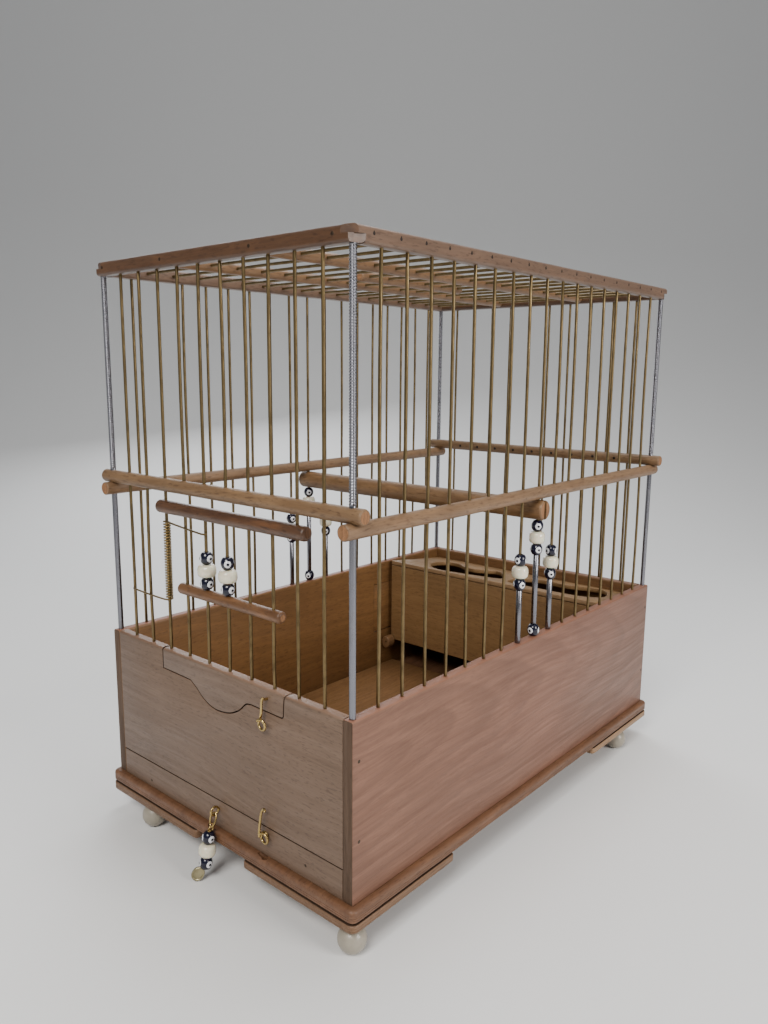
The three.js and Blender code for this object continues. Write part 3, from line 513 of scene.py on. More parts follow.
def sweep(points, radius, sides=10, closed=False, cap="round", ref=None):
    """A tube along points (mm). radius is a number or one per point. Returns verts, faces."""
    pts = [Vector(p) for p in points]
    n = len(pts)
    rad = [radius] * n if not hasattr(radius, "__len__") else list(radius)
    if closed:
        tang = [(pts[(i + 1) % n] - pts[i - 1]).normalized() for i in range(n)]
    else:
        tang = [(pts[min(i + 1, n - 1)] - pts[max(i - 1, 0)]).normalized() for i in range(n)]
    t0 = tang[0]
    a = Vector(ref) if ref else (Vector((0, 0, 1)) if abs(t0.z) < 0.9 else Vector((1, 0, 0)))
    u = (a - a.dot(t0) * t0).normalized()
    frames = []
    for t in tang:
        u = (u - u.dot(t) * t).normalized()
        frames.append((u.copy(), t.cross(u)))
    if closed:  # spread the twist so that the ends meet
        u_end = frames[-1][0]
        t = tang[0]
        u_end = (u_end - u_end.dot(t) * t).normalized()
        tw = math.atan2(u_end.dot(frames[0][1]), u_end.dot(frames[0][0]))
        new = []
        for i, (uu, vv) in enumerate(frames):
            b = -tw * i / n
            new.append((uu * math.cos(b) + vv * math.sin(b), vv * math.cos(b) - uu * math.sin(b)))
        frames = new
    rings = []
    if not closed and cap == "round":
        r = rad[0]
        for k in (0.15, 0.5, 0.8):
            f = math.sqrt(max(0, 1 - (1 - k) ** 2))
            rings.append((pts[0] - tang[0] * (r * (1 - k)) + tang[0] * r * 0.0, frames[0], r * f))
        core = [(p, fr, r_) for p, fr, r_ in zip(pts, frames, rad)]
        rings += core
        r = rad[-1]
        for k in (0.8, 0.5, 0.15):
            f = math.sqrt(max(0, 1 - (1 - k) ** 2))
            rings.append((pts[-1] + tang[-1] * (r * (1 - k)), frames[-1], r * f))
    else:
        rings = [(p, fr, r_) for p, fr, r_ in zip(pts, frames, rad)]
    verts, faces = [], []
    for p, (uu, vv), r_ in rings:
        for k in range(sides):
            b = 2 * math.pi * k / sides
            verts.append(p + uu * (r_ * math.cos(b)) + vv * (r_ * math.sin(b)))
    nr = len(rings)
    for i in range(nr if closed else nr - 1):
        j = (i + 1) % nr
        for k in range(sides):
            l = (k + 1) % sides
            faces.append((i * sides + k, i * sides + l, j * sides + l, j * sides + k))
    if not closed:
        faces.append(tuple(range(sides - 1, -1, -1)))
        faces.append(tuple((nr - 1) * sides + k for k in range(sides)))
    return verts, faces


def lathe(profile, sides=32, centre=(0, 0, 0), axis="Z", closed_profile=False):
    """profile [(r, h)] turned about an axis."""
    verts, faces = [], []
    c = Vector(centre)
    for r, h in profile:
        for k in range(sides):
            b = 2 * math.pi * k / sides
            x, y = r * math.cos(b), r * math.sin(b)
            v = {"Z": (x, y, h), "Y": (x, h, y), "X": (h, x, y)}[axis]
            verts.append(c + Vector(v))
    n = len(profile)
    for i in range(n if closed_profile else n - 1):
        j = (i + 1) % n
        for k in range(sides):
            l = (k + 1) % sides
            faces.append((i * sides + k, i * sides + l, j * sides + l, j * sides + k))
    if not closed_profile:
        if profile[0][0] > 1e-6:
            faces.append(tuple(range(sides - 1, -1, -1)))
        if profile[-1][0] > 1e-6:
            faces.append(tuple((n - 1) * sides + k for k in range(sides)))
    return verts, faces


def board(name, lo, hi, mats, body, replaces=(), bevel=0.4, top_bevel=None, seg=3, end_axis=None, wob=0.0, seed=0, pick=None):
    """A straight board with eased edges. top_bevel rounds the edges round the upper face more."""
    bm = bmesh.new()
    bmesh.ops.create_cube(bm, size=1.0)
    for v in bm.verts:
        for k in range(3):
            v.co[k] = (lo[k] + hi[k]) / 2 + v.co[k] * (hi[k] - lo[k])
    if top_bevel:
        long_axis = 0 if hi[0] - lo[0] > hi[1] - lo[1] else 1
        es = [e for e in bm.edges if all(v.co.z > hi[2] - 1e-4 for v in e.verts) and abs(e.verts[0].co[long_axis] - e.verts[1].co[long_axis]) > 1]
        bmesh.ops.bevel(bm, geom=es, offset=top_bevel, segments=5, profile=0.5, affect="EDGES")
    es = [e for e in bm.edges if e.calc_face_angle(0) > math.radians(50)]
    bmesh.ops.bevel(bm, geom=es, offset=bevel, segments=seg, profile=0.5, affect="EDGES")
    if wob:
        L = max(range(3), key=lambda k: hi[k] - lo[k])
        n = int((hi[L] - lo[L]) / 4)
        for i in range(1, n):
            co = [0, 0, 0]
            co[L] = lo[L] + (hi[L] - lo[L]) * i / n
            no = [0, 0, 0]
            no[L] = 1
            bmesh.ops.bisect_plane(bm, geom=bm.verts[:] + bm.edges[:] + bm.faces[:], plane_co=co, plane_no=no)
        for v in bm.verts:
            for k in range(3):
                if k != L:
                    s = Vector((v.co[L] * 0.05, (v.co[(k + 1) % 3]) * 0.2 + seed, seed * 3.1 + k))
                    mid = (lo[k] + hi[k]) / 2
                    if abs(v.co[k] - mid) > (hi[k] - lo[k]) * 0.3:
                        d = abs(noise.noise(s)) * wob
                        v.co[k] -= math.copysign(d, v.co[k] - mid)
    verts = [tuple(v.co) for v in bm.verts]
    bm.verts.index_update()
    faces = [tuple(v.index for v in f.verts) for f in bm.faces]
    bm.free()

    def mi(p):
        if end_axis is not None and abs(p.normal[end_axis]) > 0.8:
            return 1
        return pick(p) if pick else 0

    return obj(name, verts, faces, mats, body, replaces, True, mi, angle=40)


def outline_board(name, outline, plane, t0, t1, mats, body, replaces=(), bevel=0.3, seg=2, end_axis=None, big=None, pick=None):
    """A board of any outline, given as points in two axes, with thickness t0..t1 along the third. big(edge) gives a
    larger rounding for some edges."""
    bm = bmesh.new()
    vs = []
    for a, b in outline:
        co = {"XZ": (a, t0, b), "XY": (a, b, t0), "YZ": (t0, a, b)}[plane]
        vs.append(bm.verts.new(co))
    f = bm.faces.new(vs)
    r = bmesh.ops.extrude_face_region(bm, geom=[f])
    d = {"XZ": (0, t1 - t0, 0), "XY": (0, 0, t1 - t0), "YZ": (t1 - t0, 0, 0)}[plane]
    for v in [g for g in r["geom"] if isinstance(g, bmesh.types.BMVert)]:
        v.co += Vector(d)
    bmesh.ops.recalc_face_normals(bm, faces=bm.faces)
    ax = {"XZ": 1, "XY": 2, "YZ": 0}[plane]
    rim = [e for e in bm.edges if abs(e.verts[0].co[ax] - e.verts[1].co[ax]) < 1e-6]
    if big:
        chosen = [e for e in rim if big(e)]
        bmesh.ops.bevel(bm, geom=chosen, offset=big.size, segments=4, profile=0.5, affect="EDGES")
        rim = [e for e in bm.edges if e.calc_face_angle(0) > math.radians(60)]
    if bevel:
        bmesh.ops.bevel(bm, geom=rim, offset=bevel, segments=seg, profile=0.5, affect="EDGES")
    verts = [tuple(v.co) for v in bm.verts]
    bm.verts.index_update()
    faces = [tuple(v.index for v in f.verts) for f in bm.faces]
    bm.free()

    def mi(p):
        if end_axis is not None and abs(p.normal[end_axis]) > 0.8:
            return 1
        return pick(p) if pick else 0

    return obj(name, verts, faces, mats, body, replaces, True, mi, angle=35)


def dowel_geo(axis, a0, a1, c, r, sides=28, round_end=0.8, seed=0, wob=0.06, flat=0.0, taper=0.0):
    """A hand-made round rail: eased ends, a radius that wanders a little. Returns verts, faces, material per face
    (1 on the two ends)."""
    n = max(8, int((a1 - a0) / 4))
    prof = []
    e = round_end
    for k in range(5):
        t = k / 4 * math.pi / 2
        prof.append((r - e + e * math.sin(t), a0 + e - e * math.cos(t)))
    for i in range(1, n):
        a = a0 + e + (a1 - a0 - 2 * e) * i / n
        prof.append((r, a))
    for k in range(5):
        t = math.pi / 2 - k / 4 * math.pi / 2
        prof.append((r - e + e * math.sin(t), a1 - e + e * math.cos(t)))
    prof = [(r - e - 0.6, a0)] + prof + [(r - e - 0.6, a1)]
    verts, faces, mats = [], [], []
    for rr, a in prof:
        for k in range(sides):
            b = 2 * math.pi * k / sides
            w = noise.noise(Vector((a * 0.03 + seed, math.cos(b) * 0.7, math.sin(b) * 0.7))) * wob
            q = rr + w
            x, y = q * math.cos(b), q * math.sin(b)
            v = {"X": (a, c[0] + x, c[1] + y), "Y": (c[0] + x, a, c[1] + y), "Z": (c[0] + x, c[1] + y, a)}[axis]
            verts.append(v)
    m = len(prof)
    for i in range(m - 1):
        for k in range(sides):
            l = (k + 1) % sides
            faces.append((i * sides + k, i * sides + l, (i + 1) * sides + l, (i + 1) * sides + k))
            mats.append(1 if i == 0 or i == m - 2 else 0)
    faces.append(tuple(range(sides - 1, -1, -1)))
    faces.append(tuple((m - 1) * sides + k for k in range(sides)))
    mats += [1, 1]
    return verts, faces, mats


def dowel(name, axis, a0, a1, c, r, mats, body, replaces=(), slot=None, **kw):
    v, f, mi = dowel_geo(axis, a0, a1, c, r, **kw)
    g = Geo()
    g.v, g.f, g.m = [tuple(x) for x in v], f, mi
    return g.make(name, mats, body, replaces, slot, angle=50)


def saw(o, cutter_verts, cutter_faces, mat=None):
    """Cuts a closed shape out of a piece; mat is the material of the cut faces."""
    lo_c = [min(v[k] for v in cutter_verts) - 0.03 for k in range(3)]
    hi_c = [max(v[k] for v in cutter_verts) + 0.03 for k in range(3)]
    me = bpy.data.meshes.new("cutter")
    me.from_pydata([(v[0] / 1000.0, (v[1] + SY) / 1000.0, (v[2] + LV) / 1000.0) for v in cutter_verts], [], cutter_faces)
    bm = bmesh.new()
    bm.from_mesh(me)
    bmesh.ops.recalc_face_normals(bm, faces=bm.faces)
    bm.to_mesh(me)
    bm.free()
    c = bpy.data.objects.new("cutter", me)
    bpy.context.scene.collection.objects.link(c)
    md = o.modifiers.new("saw", "BOOLEAN")
    md.operation = "DIFFERENCE"
    md.solver = "EXACT"
    md.object = c
    bpy.context.view_layer.update()
    dg = bpy.context.evaluated_depsgraph_get()
    new = bpy.data.meshes.new_from_object(o.evaluated_get(dg))
    o.modifiers.remove(md)
    o.data = new
    bpy.data.objects.remove(c)
    if mat is not None:
        inside = []
        for w in new.vertices:
            q = (w.co[0] * 1000, w.co[1] * 1000 - SY, w.co[2] * 1000 - LV)
            inside.append(all(lo_c[k] <= q[k] <= hi_c[k] for k in range(3)))
        for p in new.polygons:
            if all(inside[k] for k in p.vertices):
                p.material_index = mat
    new.set_sharp_from_angle(angle=math.radians(40))
    return o


def box_geo(x0, x1, y0, y1, z0, z1):
    v = [(x, y, z) for z in (z0, z1) for y in (y0, y1) for x in (x0, x1)]
    f = [(0, 2, 3, 1), (4, 5, 7, 6), (0, 1, 5, 4), (2, 6, 7, 3), (0, 4, 6, 2), (1, 3, 7, 5)]
    return v, f


# ------------------------------------------------------------------ feet
def foot_profile():
    c = -LV + 5.375
    R = 5.75
    a0 = math.asin((-LV - c) / R)
    a1 = math.asin(min(1, (-83.1 - c) / R))
    return [(0.0, -LV)] + [(R * math.cos(a), c + R * math.sin(a)) for a in np.linspace(a0, a1, 22)] + [(2.6, -82.35), (0.0, -82.35)]


for nm, x, y in (("foot_front_left", -54, -126.5), ("foot_front_right", 77, -126), ("foot_back_left", -54, 126), ("foot_back_right", 77, 101)):
    v, f = lathe(foot_profile(), 40, (x, y, 0))
    g = Geo()
    g.add(v, f)
    g.make("ball_" + nm, M["foot"], "cage", [nm], "feet", angle=60)

# ------------------------------------------------------------------ moulding under the box
PX, PY = HX + 5.5, HY + 5.5


def rounded_ring(x, y, r, z, n=6):
    out = []
    for cx, cy, a0 in ((x - r, y - r, 0), (-x + r, y - r, 90), (-x + r, -y + r, 180), (x - r, -y + r, 270)):
        for k in range(n + 1):
            a = math.radians(a0 + 90 * k / n)
            out.append((cx + r * math.cos(a), cy + r * math.sin(a), z))
    # points along the long edges so that the edge can wander a little
    full = []
    m = len(out)
    for i in range(m):
        a, b = Vector(out[i]), Vector(out[(i + 1) % m])
        full.append(tuple(a))
        d = (b - a).length
        if d > 10:
            k = 52 if d > 200 else 32
            for j in range(1, k):
                full.append(tuple(a.lerp(b, j / k)))
    return full


def moulding():
    g = Geo()
    rings = []
    # inset, height: a plain bottom arris, ply lines, then the rounded upper edge
    lv = [(1.0, -78.0), (0.35, -78.0), (0.0, -77.7), (0.0, -76.95), (0.16, -76.85), (0.0, -76.75), (0.0, -76.05), (0.14, -75.95), (0.0, -75.85), (0.0, -75.0)]
    for k in range(7):
        t = k / 6 * math.pi / 2
        lv.append((1.6 - 1.6 * math.cos(t), -74.6 + 1.6 * math.sin(t)))
    lv.append((4.5, -73.0))
    for inset, z in lv:
        ring = rounded_ring(PX - inset, PY - inset, max(3 - inset, 0.6), z)
        out = []
        for (x, y, zz) in ring:
            w = noise.noise(Vector((x * 0.045, y * 0.045, 3.3))) * 0.22
            w2 = noise.noise(Vector((x * 0.4, y * 0.4, zz * 0.4))) * 0.06
            cx = x - math.copysign(abs(w), x) if abs(abs(x) - (PX - inset)) < 0.5 else x
            cy = y - math.copysign(abs(w), y) if abs(abs(y) - (PY - inset)) < 0.5 else y
            out.append((cx, cy, zz - (abs(w2) if -75.5 < zz < -73.05 else 0)))
        rings.append(out)
    n = len(rings[0])
    for r_ in rings:
        g.v.extend(r_)
    for i in range(len(rings) - 1):
        for k in range(n):
            l = (k + 1) % n
            g.f.append((i * n + k, i * n + l, (i + 1) * n + l, (i + 1) * n + k))
            g.m.append(0)
    g.f.append(tuple(range(n - 1, -1, -1)))
    g.m.append(0)
    g.f.append(tuple((len(rings) - 1) * n + k for k in range(n)))
    g.m.append(0)
    return g


plate = moulding().make("moulding", [M["plate"], M["end_dark"]], "cage", ["base_plate"], "plate_wood", angle=60)
# small hollows cut into the upper edge of the moulding at two places, near the tray's hook and under the pull, faced
# with the darker end wood
for cx, cy, w, deep in ((29.6, -129.2, 3.0, 1.15), (31.4, -129.9, 1.9, 0.9), (-4.0, -130.0, 2.2, 1.0)):
    v, f = lathe([(0.0, -1.0), (0.5, -0.86), (0.86, -0.5), (1.0, 0.0), (0.86, 0.5), (0.5, 0.86), (0.0, 1.0)], 14, (0, 0, 0), "Z")
    v = [(cx + p[0] * w * (1 + 0.25 * noise.noise(Vector((p[0] * 2 + cx, p[1] * 2, p[2])))), cy + p[1] * 1.25, -73.0 + p[2] * deep + 0.25 * noise.noise(Vector((p[0] * 3, p[1] * 3, cx)))) for p in v]
    saw(plate, v, f, 1)


def strip_outline(sx, sy, x1, y1, inset=0.0):
    W, r, q = 10.0, 3.0, 2.0
    X, Y = sx * (PX - inset), sy * (PY - inset)
    Xi, Yi = sx * (PX - W + inset), sy * (PY - W + inset)
    x1, y1 = x1 + sx * inset, y1 + sy * inset
    pts = []

    def arc(cx, cy, rr, a0, a1, n=5):
        for k in range(n + 1):
            a = math.radians(a0 + (a1 - a0) * k / n)
            pts.append((cx + sx * rr * math.cos(a), cy + sy * rr * math.sin(a)))

    arc(X - sx * r, Y - sy * r, r, 90, 0)
    arc(X - sx * q, y1 + sy * q, q, 0, -90)
    arc(Xi + sx * q, y1 + sy * q, q, -90, -180)
    pts.append((Xi, Yi))
    arc(x1 + sx * q, Yi + sy * q, q, -90, -180)
    arc(x1 + sx * q, Y - sy * q, q, 180, 90)
    return pts


for nm, sx, sy, x1, y1 in (("front_left", -1, -1, -13.5, -67.6), ("front_right", 1, -1, 18.6, -67.6), ("back_left", -1, 1, -18.6, 61), ("back_right", 1, 1, 18.6, 61)):
    low = -83.0 if sx < 0 else -82.3
    levels = [(0.9, low), (0.25, low + 0.05), (0.0, low + 0.4), (0.0, -81.35), (0.12, -81.28), (0.0, -81.2), (0.0, -80.3), (0.12, -80.22), (0.0, -80.15), (0.0, -79.4), (0.3, -79.05), (2.1, -79.0), (2.1, -78.1)]
    g = Geo()
    rings = [[(x, y, z) for x, y in strip_outline(sx, sy, x1, y1, ins)] for ins, z in levels]
    n = len(rings[0])
    for r_ in rings:
        g.v.extend(r_)
    for i in range(len(rings) - 1):
        for k in range(n):
            l = (k + 1) % n
            g.f.append((i * n + k, i * n + l, (i + 1) * n + l, (i + 1) * n + k))
            # the top bands, in the recess under the moulding, take the dark gap wood: painted shade between strip and
            # moulding
            g.m.append(1 if i >= len(rings) - 3 else 0)
    g.f.append(tuple(range(n - 1, -1, -1)))
    g.m.append(0)
    g.f.append(tuple((len(rings) - 1) * n + k for k in range(n)))
    g.m.append(1)
    g.make("strip_" + nm, [M["strip_pale"] if nm == "back_right" else M["strip"], M["seam"]], "cage", ["corner_strip_" + nm], "strip_wood", angle=50)

# ------------------------------------------------------------------ base panels
IN_X, OUT_X, IN_Y, OUT_Y = 74.5, 79.5, 123.5, 128.5
board("side_panel_right", (IN_X, -OUT_Y, -72.95), (OUT_X, OUT_Y, 0), [M["side"], M["end"], M["inner_y"]], "cage", ["panel_right"], bevel=0.3, top_bevel=0.8, end_axis=1, pick=lambda p: 2 if p.normal[0] < -0.6 else 0)
left = board("side_panel_left", (-OUT_X, -OUT_Y, -72.95), (-IN_X, OUT_Y, 0), [M["left"], M["end"], M["inner_y"], M["seam"]], "cage", ["panel_left"], bevel=0.3, top_bevel=1.2, end_axis=1, pick=lambda p: 2 if p.normal[0] > 0.6 else 0)
# the cut faces of the drawer opening get the dark gap wood: painted shade
saw(left, *box_geo(-OUT_X - 1, -IN_X + 1, 55.8, 118.2, -46.3, -13.8), 3)
board("rear_panel", (-IN_X + 0.1, IN_Y, -72.95), (IN_X - 0.1, OUT_Y, 0), [M["rear"], M["end"], M["inner_x"]], "cage", ["panel_back"], bevel=0.3, top_bevel=1.2, pick=lambda p: 2 if p.normal[1] < -0.6 else 0)


# near-black board behind the floor, under the feeder: painted shade
board("painted_shade_board", (-IN_X + 0.3, IN_Y - 0.35, -69), (IN_X - 0.3, IN_Y, -47), [M["under"]], "cage", bevel=0.1)

# the line between the door board and the front panel
def spline(points, n):
    """Centripetal-like smooth line through 2-D points."""
    pts = [Vector((a, b, 0)) for a, b in points]
    pts = [pts[0] * 2 - pts[1]] + pts + [pts[-1] * 2 - pts[-2]]
    out = []
    for i in range(1, len(pts) - 2):
        p0, p1, p2, p3 = pts[i - 1], pts[i], pts[i + 1], pts[i + 2]
        for k in range(n):
            t = k / n
            out.append(0.5 * ((2 * p1) + (p2 - p0) * t + (2 * p0 - 5 * p1 + 4 * p2 - p3) * t * t + (3 * p1 - p0 - 3 * p2 + p3) * t ** 3))
    out.append(pts[-2])
    return [(v.x, v.y) for v in out]


curve = spline([(-18, -9.8), (-13.6, -12.4), (-9.75, -15.3), (-4.4, -17.7), (1.3, -18.4), (9.1, -17.2), (15.6, -13.9), (19.4, -10.4), (22.6, -9.5)], 4)
seam = [(-38.2, -9.4)] + curve + [(32, -9.62), (41.0, -9.75), (41.9, -9.5), (42.4, -8.7), (42.6, -6), (42.7, -3.6), (42.95, -1.6), (43.5, 0)]


def shift(line, d):
    out = []
    for i, (x, z) in enumerate(line):
        xa, za = line[max(0, i - 1)]
        xb, zb = line[min(len(line) - 1, i + 1)]
        L = math.hypot(xb - xa, zb - za)
        out.append((x + (zb - za) / L * d, z - (xb - xa) / L * d))
    return out


opening = shift(seam, 0.26)
boardl = shift(seam, -0.26)
EX = IN_X - 0.05


class TopRound:
    size = 1.1

    def __call__(self, e):
        return all(abs(v.co.z) < 1e-4 for v in e.verts) and abs(e.verts[0].co.x - e.verts[1].co.x) > 1


def face_pick(p):
    """Wood outside, varnished wood inside, dark gap wood on the cut faces inside the gaps and on the downward faces:
    painted shade.
    """
    if p.normal[1] > 0.6:
        return 2
    z = p.center[2] * 1000 - LV
    if abs(p.normal[1]) < 0.3 and z < -0.9 and abs(p.center[0] * 1000) < 60 or p.normal[2] < -0.8:
        return 3
    return 0


FACES = [M["front"], M["end"], M["inner_x"], M["seam"]]
outline = [(-EX, -59.8), (-EX, 0), (-38.6, 0), (-38.6, -9.64)] + opening[1:-1] + [(43.78, 0), (EX, 0), (EX, -59.8)]
front_panel = outline_board("front_panel", outline, "XZ", -OUT_Y, -IN_Y, FACES, "cage", ["panel_front"], bevel=0.2, big=TopRound(), pick=face_pick)
# the hinge hole's faces get the dark gap wood: painted shade
saw(front_panel, *sweep([(-35, -HY, -9.64), (-35, -HY, 3)], 4.4, 48, cap="flat"), 3)

# door board; its left edge is rounded about the hinge wire
pts = [(-38.2, 0), (-38.2, -9.2)] + boardl[1:-1] + [(43.22, 0)]
outline_board("door_front_board", pts, "XZ", -OUT_Y, -IN_Y, FACES, "door", ["door_board"], bevel=0.2, big=TopRound(), pick=face_pick)
lim = math.asin(2.1 / 4.04)
arc = [(-3.0, 2.1)] + [(-4.04 * math.cos(a), 4.04 * math.sin(a)) for a in np.linspace(lim, -lim, 11)] + [(-3.0, -2.1)]
k = len(arc)
v = [(-35 + x, -HY + y, z) for z in (-9.1, -0.8) for x, y in arc]
f = [(j, (j + 1) % k, k + (j + 1) % k, k + j) for j in range(k)] + [tuple(range(k - 1, -1, -1)), tuple(k + j for j in range(k))]
# the rounded edge in the hinge slot is in the dark gap wood: painted shade
obj("door_board_edge", v, f, [M["seam"]], "door", angle=50)


# fine nail heads and the holes they sit in
def nail(name, pos, axis, r=0.75, body="cage", depth=0.12, mat="nail"):
    prof = [(0.0, 0.04), (r * 0.6, 0.035), (r * 0.9, 0.0), (r, -0.06), (r, -depth), (0.0, -depth)]
    ax, s = axis[-1], -1 if axis[0] == "-" else 1
    v, f = lathe([(a, h * s) for a, h in prof], 14, (0, 0, 0), ax)
    v = [Vector(p) + Vector(pos) for p in v]
    g = Geo()
    g.add(v, f)
    return g.make(name, M[mat], body, slot="brass", angle=50)


# ------------------------------------------------------------------ tray
# its top face, in the gap under the front panel, gets the dark gap wood: painted shade
board("tray_front_board", (-74.25, -OUT_Y, -72.8), (74.25, -IN_Y, -60.25), [M["tray"], M["end"], M["inner_x"], M["seam"]], "tray", ["tray_front"], bevel=0.2, pick=lambda p: 2 if p.normal[1] > 0.6 else 3 if p.normal[2] > 0.8 else 0)
board("tray_bottom", (-74.2, -IN_Y + 0.1, -72.8), (74.2, 75, -69.8), [M["floor_in"]], "tray", ["tray_floor"], bevel=0.2)
for i, (x, z) in enumerate(((-52.1, -69.5), (54.2, -67.2))):
    nail(f"tray_nail_{i}", (x, -OUT_Y, z), "-Y", 0.7, "tray")
for i, (y, z) in enumerate(((-125.1, -16), (-125.0, -48), (126.3, -13.3), (126.5, -52.7))):
    for s in (-1, 1):
        nail(f"side_nail_{i}_{'l' if s < 0 else 'r'}", (s * OUT_X, y, z), "X" if s > 0 else "-X", 0.8, "cage")


# ------------------------------------------------------------------ wires
def bent_line(fixed, sway, seed, n_per=7):
    """fixed: list of (x, y, z) where the wire is held; between them it bows by up to sway."""
    out = []
    for i in range(len(fixed) - 1):
        a, b = Vector(fixed[i]), Vector(fixed[i + 1])
        rx = noise.noise(Vector((seed * 1.37 + i * 5.1, 0.3, 0.7))) * 2
        ry = noise.noise(Vector((seed * 2.11 + i * 3.7, 4.1, 1.9))) * 2
        d = (b - a).normalized()
        u = Vector((1, 0, 0)) if abs(d.x) < 0.7 else Vector((0, 0, 1))
        v_ = d.cross(u).normalized()
        for k in range(n_per):
            t = k / n_per
            bow = math.sin(math.pi * t) ** 1.0 * sway
            out.append(a.lerp(b, t) + u * (bow * rx) + v_ * (bow * ry))
    out.append(Vector(fixed[-1]))
    return out


def wire_set(name, lines, mat, body, replaces, r=0.7, slot="wire", sides=12):
    g = Geo()
    for pts in lines:
        g.add(*sweep(pts, r, sides))
    return g.make(name, M[mat], body, replaces, slot, angle=70)


TOPZ = 166.2
side_lines = {}
for nm, s in (("left", -1), ("right", 1)):
    lines = [bent_line([(s * HX, y, -3), (s * HX, y, 0), (s * HX, y, 69.1), (s * HX, y, 165), (s * HX, y, TOPZ)], 0.32, 10 + i + s * 40) for i, y in enumerate(SIDE_Y)]
    wire_set(f"side_wires_{nm}", lines, "wire", "cage", [f"wires_{nm}"])
lines = [bent_line([(x, HY, -3), (x, HY, 0), (x, HY, 74.6), (x, HY, 165), (x, HY, TOPZ)], 0.32, 90 + i) for i, x in enumerate(FRONT_X)]
wire_set("rear_wires", lines, "wire", "cage", ["wires_back"])
w = lambda i, z0, z1, seed: bent_line([(FRONT_X[i], -HY, z0), (FRONT_X[i], -HY, max(z0 + 1, 0)), (FRONT_X[i], -HY, 74.6), (FRONT_X[i], -HY, 165), (FRONT_X[i], -HY, TOPZ)], 0.28, seed) if z0 < 50 else bent_line([(FRONT_X[i], -HY, z0), (FRONT_X[i], -HY, 165), (FRONT_X[i], -HY, TOPZ)], 0.28, seed)
hinge = [Vector((FRONT_X[2], -HY, z)) for z in np.linspace(-9.0, TOPZ, 30)]
wire_set("front_wires_left", [w(0, -3, TOPZ, 131), w(1, -3, TOPZ, 133), hinge], "wire", "cage", ["wires_front_left"])
wire_set("front_wires_upper", [w(i, 73, TOPZ, 140 + i) for i in (3, 4, 5, 6, 7)], "wire", "cage", ["wires_front_upper"])
wire_set("front_wires_right", [w(8, -3, TOPZ, 151), w(9, -3, TOPZ, 153)], "wire", "cage", ["wires_front_right"])
lines = [bent_line([(-79.2, y, 168), (-74, y, 168), (-28, y, 168), (28, y, 168), (74, y, 168), (79.2, y, 168)], 0.22, 170 + i, 4) for i, y in enumerate(ROOF_Y)]
wire_set("roof_wire_row", lines, "wire_x", "cage", ["roof_wires"])
DOOR_X = [FRONT_X[i] for i in (3, 4, 5, 6, 7)]
lines = [bent_line([(x, -HY, -2), (x, -HY, 0), (x, -HY, 30), (x, -HY, 64.5), (x, -HY, 66.4)], 0.16, 200 + i) for i, x in enumerate(DOOR_X)]
wire_set("door_wire_row", lines, "wire", "door", ["door_wires"])


# ------------------------------------------------------------------ corner posts: plain below, threaded above
def post(name, x, y, node):
    sides = 20
    verts, faces = [], []
    rings = []
    z = -2.0
    for zz in (-2.0, 20.0, 45.0, 66.0, 78.0):
        rings.append([(1.28, zz)] * sides)
    pitch, R, r = 1.0, 1.43, 1.12
    # thread: each ring is offset so that the crest runs as a helix
    zs = np.arange(78.4, 165.6, pitch / 5)
    for zz in zs:
        ring = []
        for k in range(sides):
            ph = ((zz / pitch) - k / sides) % 1.0
            d = abs(ph - 0.5) * 2  # 0 at root, 1 at crest
            ring.append((r + (R - r) * min(1, max(0, d * 1.35 - 0.12)), zz))
        rings.append(ring)
    for ring in rings:
        for k in range(sides):
            b = 2 * math.pi * k / sides
            rr, zz = ring[k]
            verts.append((x + rr * math.cos(b), y + rr * math.sin(b), zz))
    n = len(rings)
    for i in range(n - 1):
        for k in range(sides):
            l = (k + 1) % sides
            faces.append((i * sides + k, i * sides + l, (i + 1) * sides + l, (i + 1) * sides + k))
    faces.append(tuple(range(sides - 1, -1, -1)))
    faces.append(tuple((n - 1) * sides + k for k in range(sides)))
    g = Geo()
    g.add(verts, faces)
    return g.make(name, M["steel"], "cage", [node], "steel", angle=75)


for nm, x, y in (("front_left", -HX, -HY), ("front_right", HX, -HY), ("back_left", -HX, HY), ("back_right", HX, HY)):
    post("rod_" + nm, x, y, "post_" + nm)

# ------------------------------------------------------------------ mid rails
for nm, s in (("front", -1), ("back", 1)):
    o = dowel(f"round_rail_{nm}", "X", -82.9, 82.9, (s * HY, 74.6), 3.0, [M["rail_x"], M["end_rail"]], "cage", [f"mid_rail_{nm}"], "rail_wood", seed=3 + s, round_end=0.7)
    for x in (-HX, HX):
        saw(o, *sweep([(x, s * HY - 6, 69.1), (x, s * HY + 6, 69.1)], 3.12, 24, cap="flat"), 1)
for nm, s in (("left", -1), ("right", 1)):
    dowel(f"round_rail_{nm}", "Y", -130.9, 130.9, (s * HX, 69.1), 3.0, [M["rail_y"], M["end_rail"]], "cage", [f"mid_rail_{nm}"], "rail_wood", seed=8 + s, round_end=0.5)

# small blind holes along the inner face of the rear mid rail, drawn as flat near-black discs: painted shade inside the
# holes
g = Geo()
for x in [(-HX + PITCH * i) for i in range(1, 11)]:
    v, f = lathe([(0.0, 0.05), (0.75, 0.05), (0.85, -0.05), (0.0, -0.08)], 12, (x + 7 if x < 60 else x - 7, HY - 2.98, 74.6), "Y")
    g.add(v, f)
g.make("rear_rail_marks", M["hole"], "cage", slot="rail_wood")


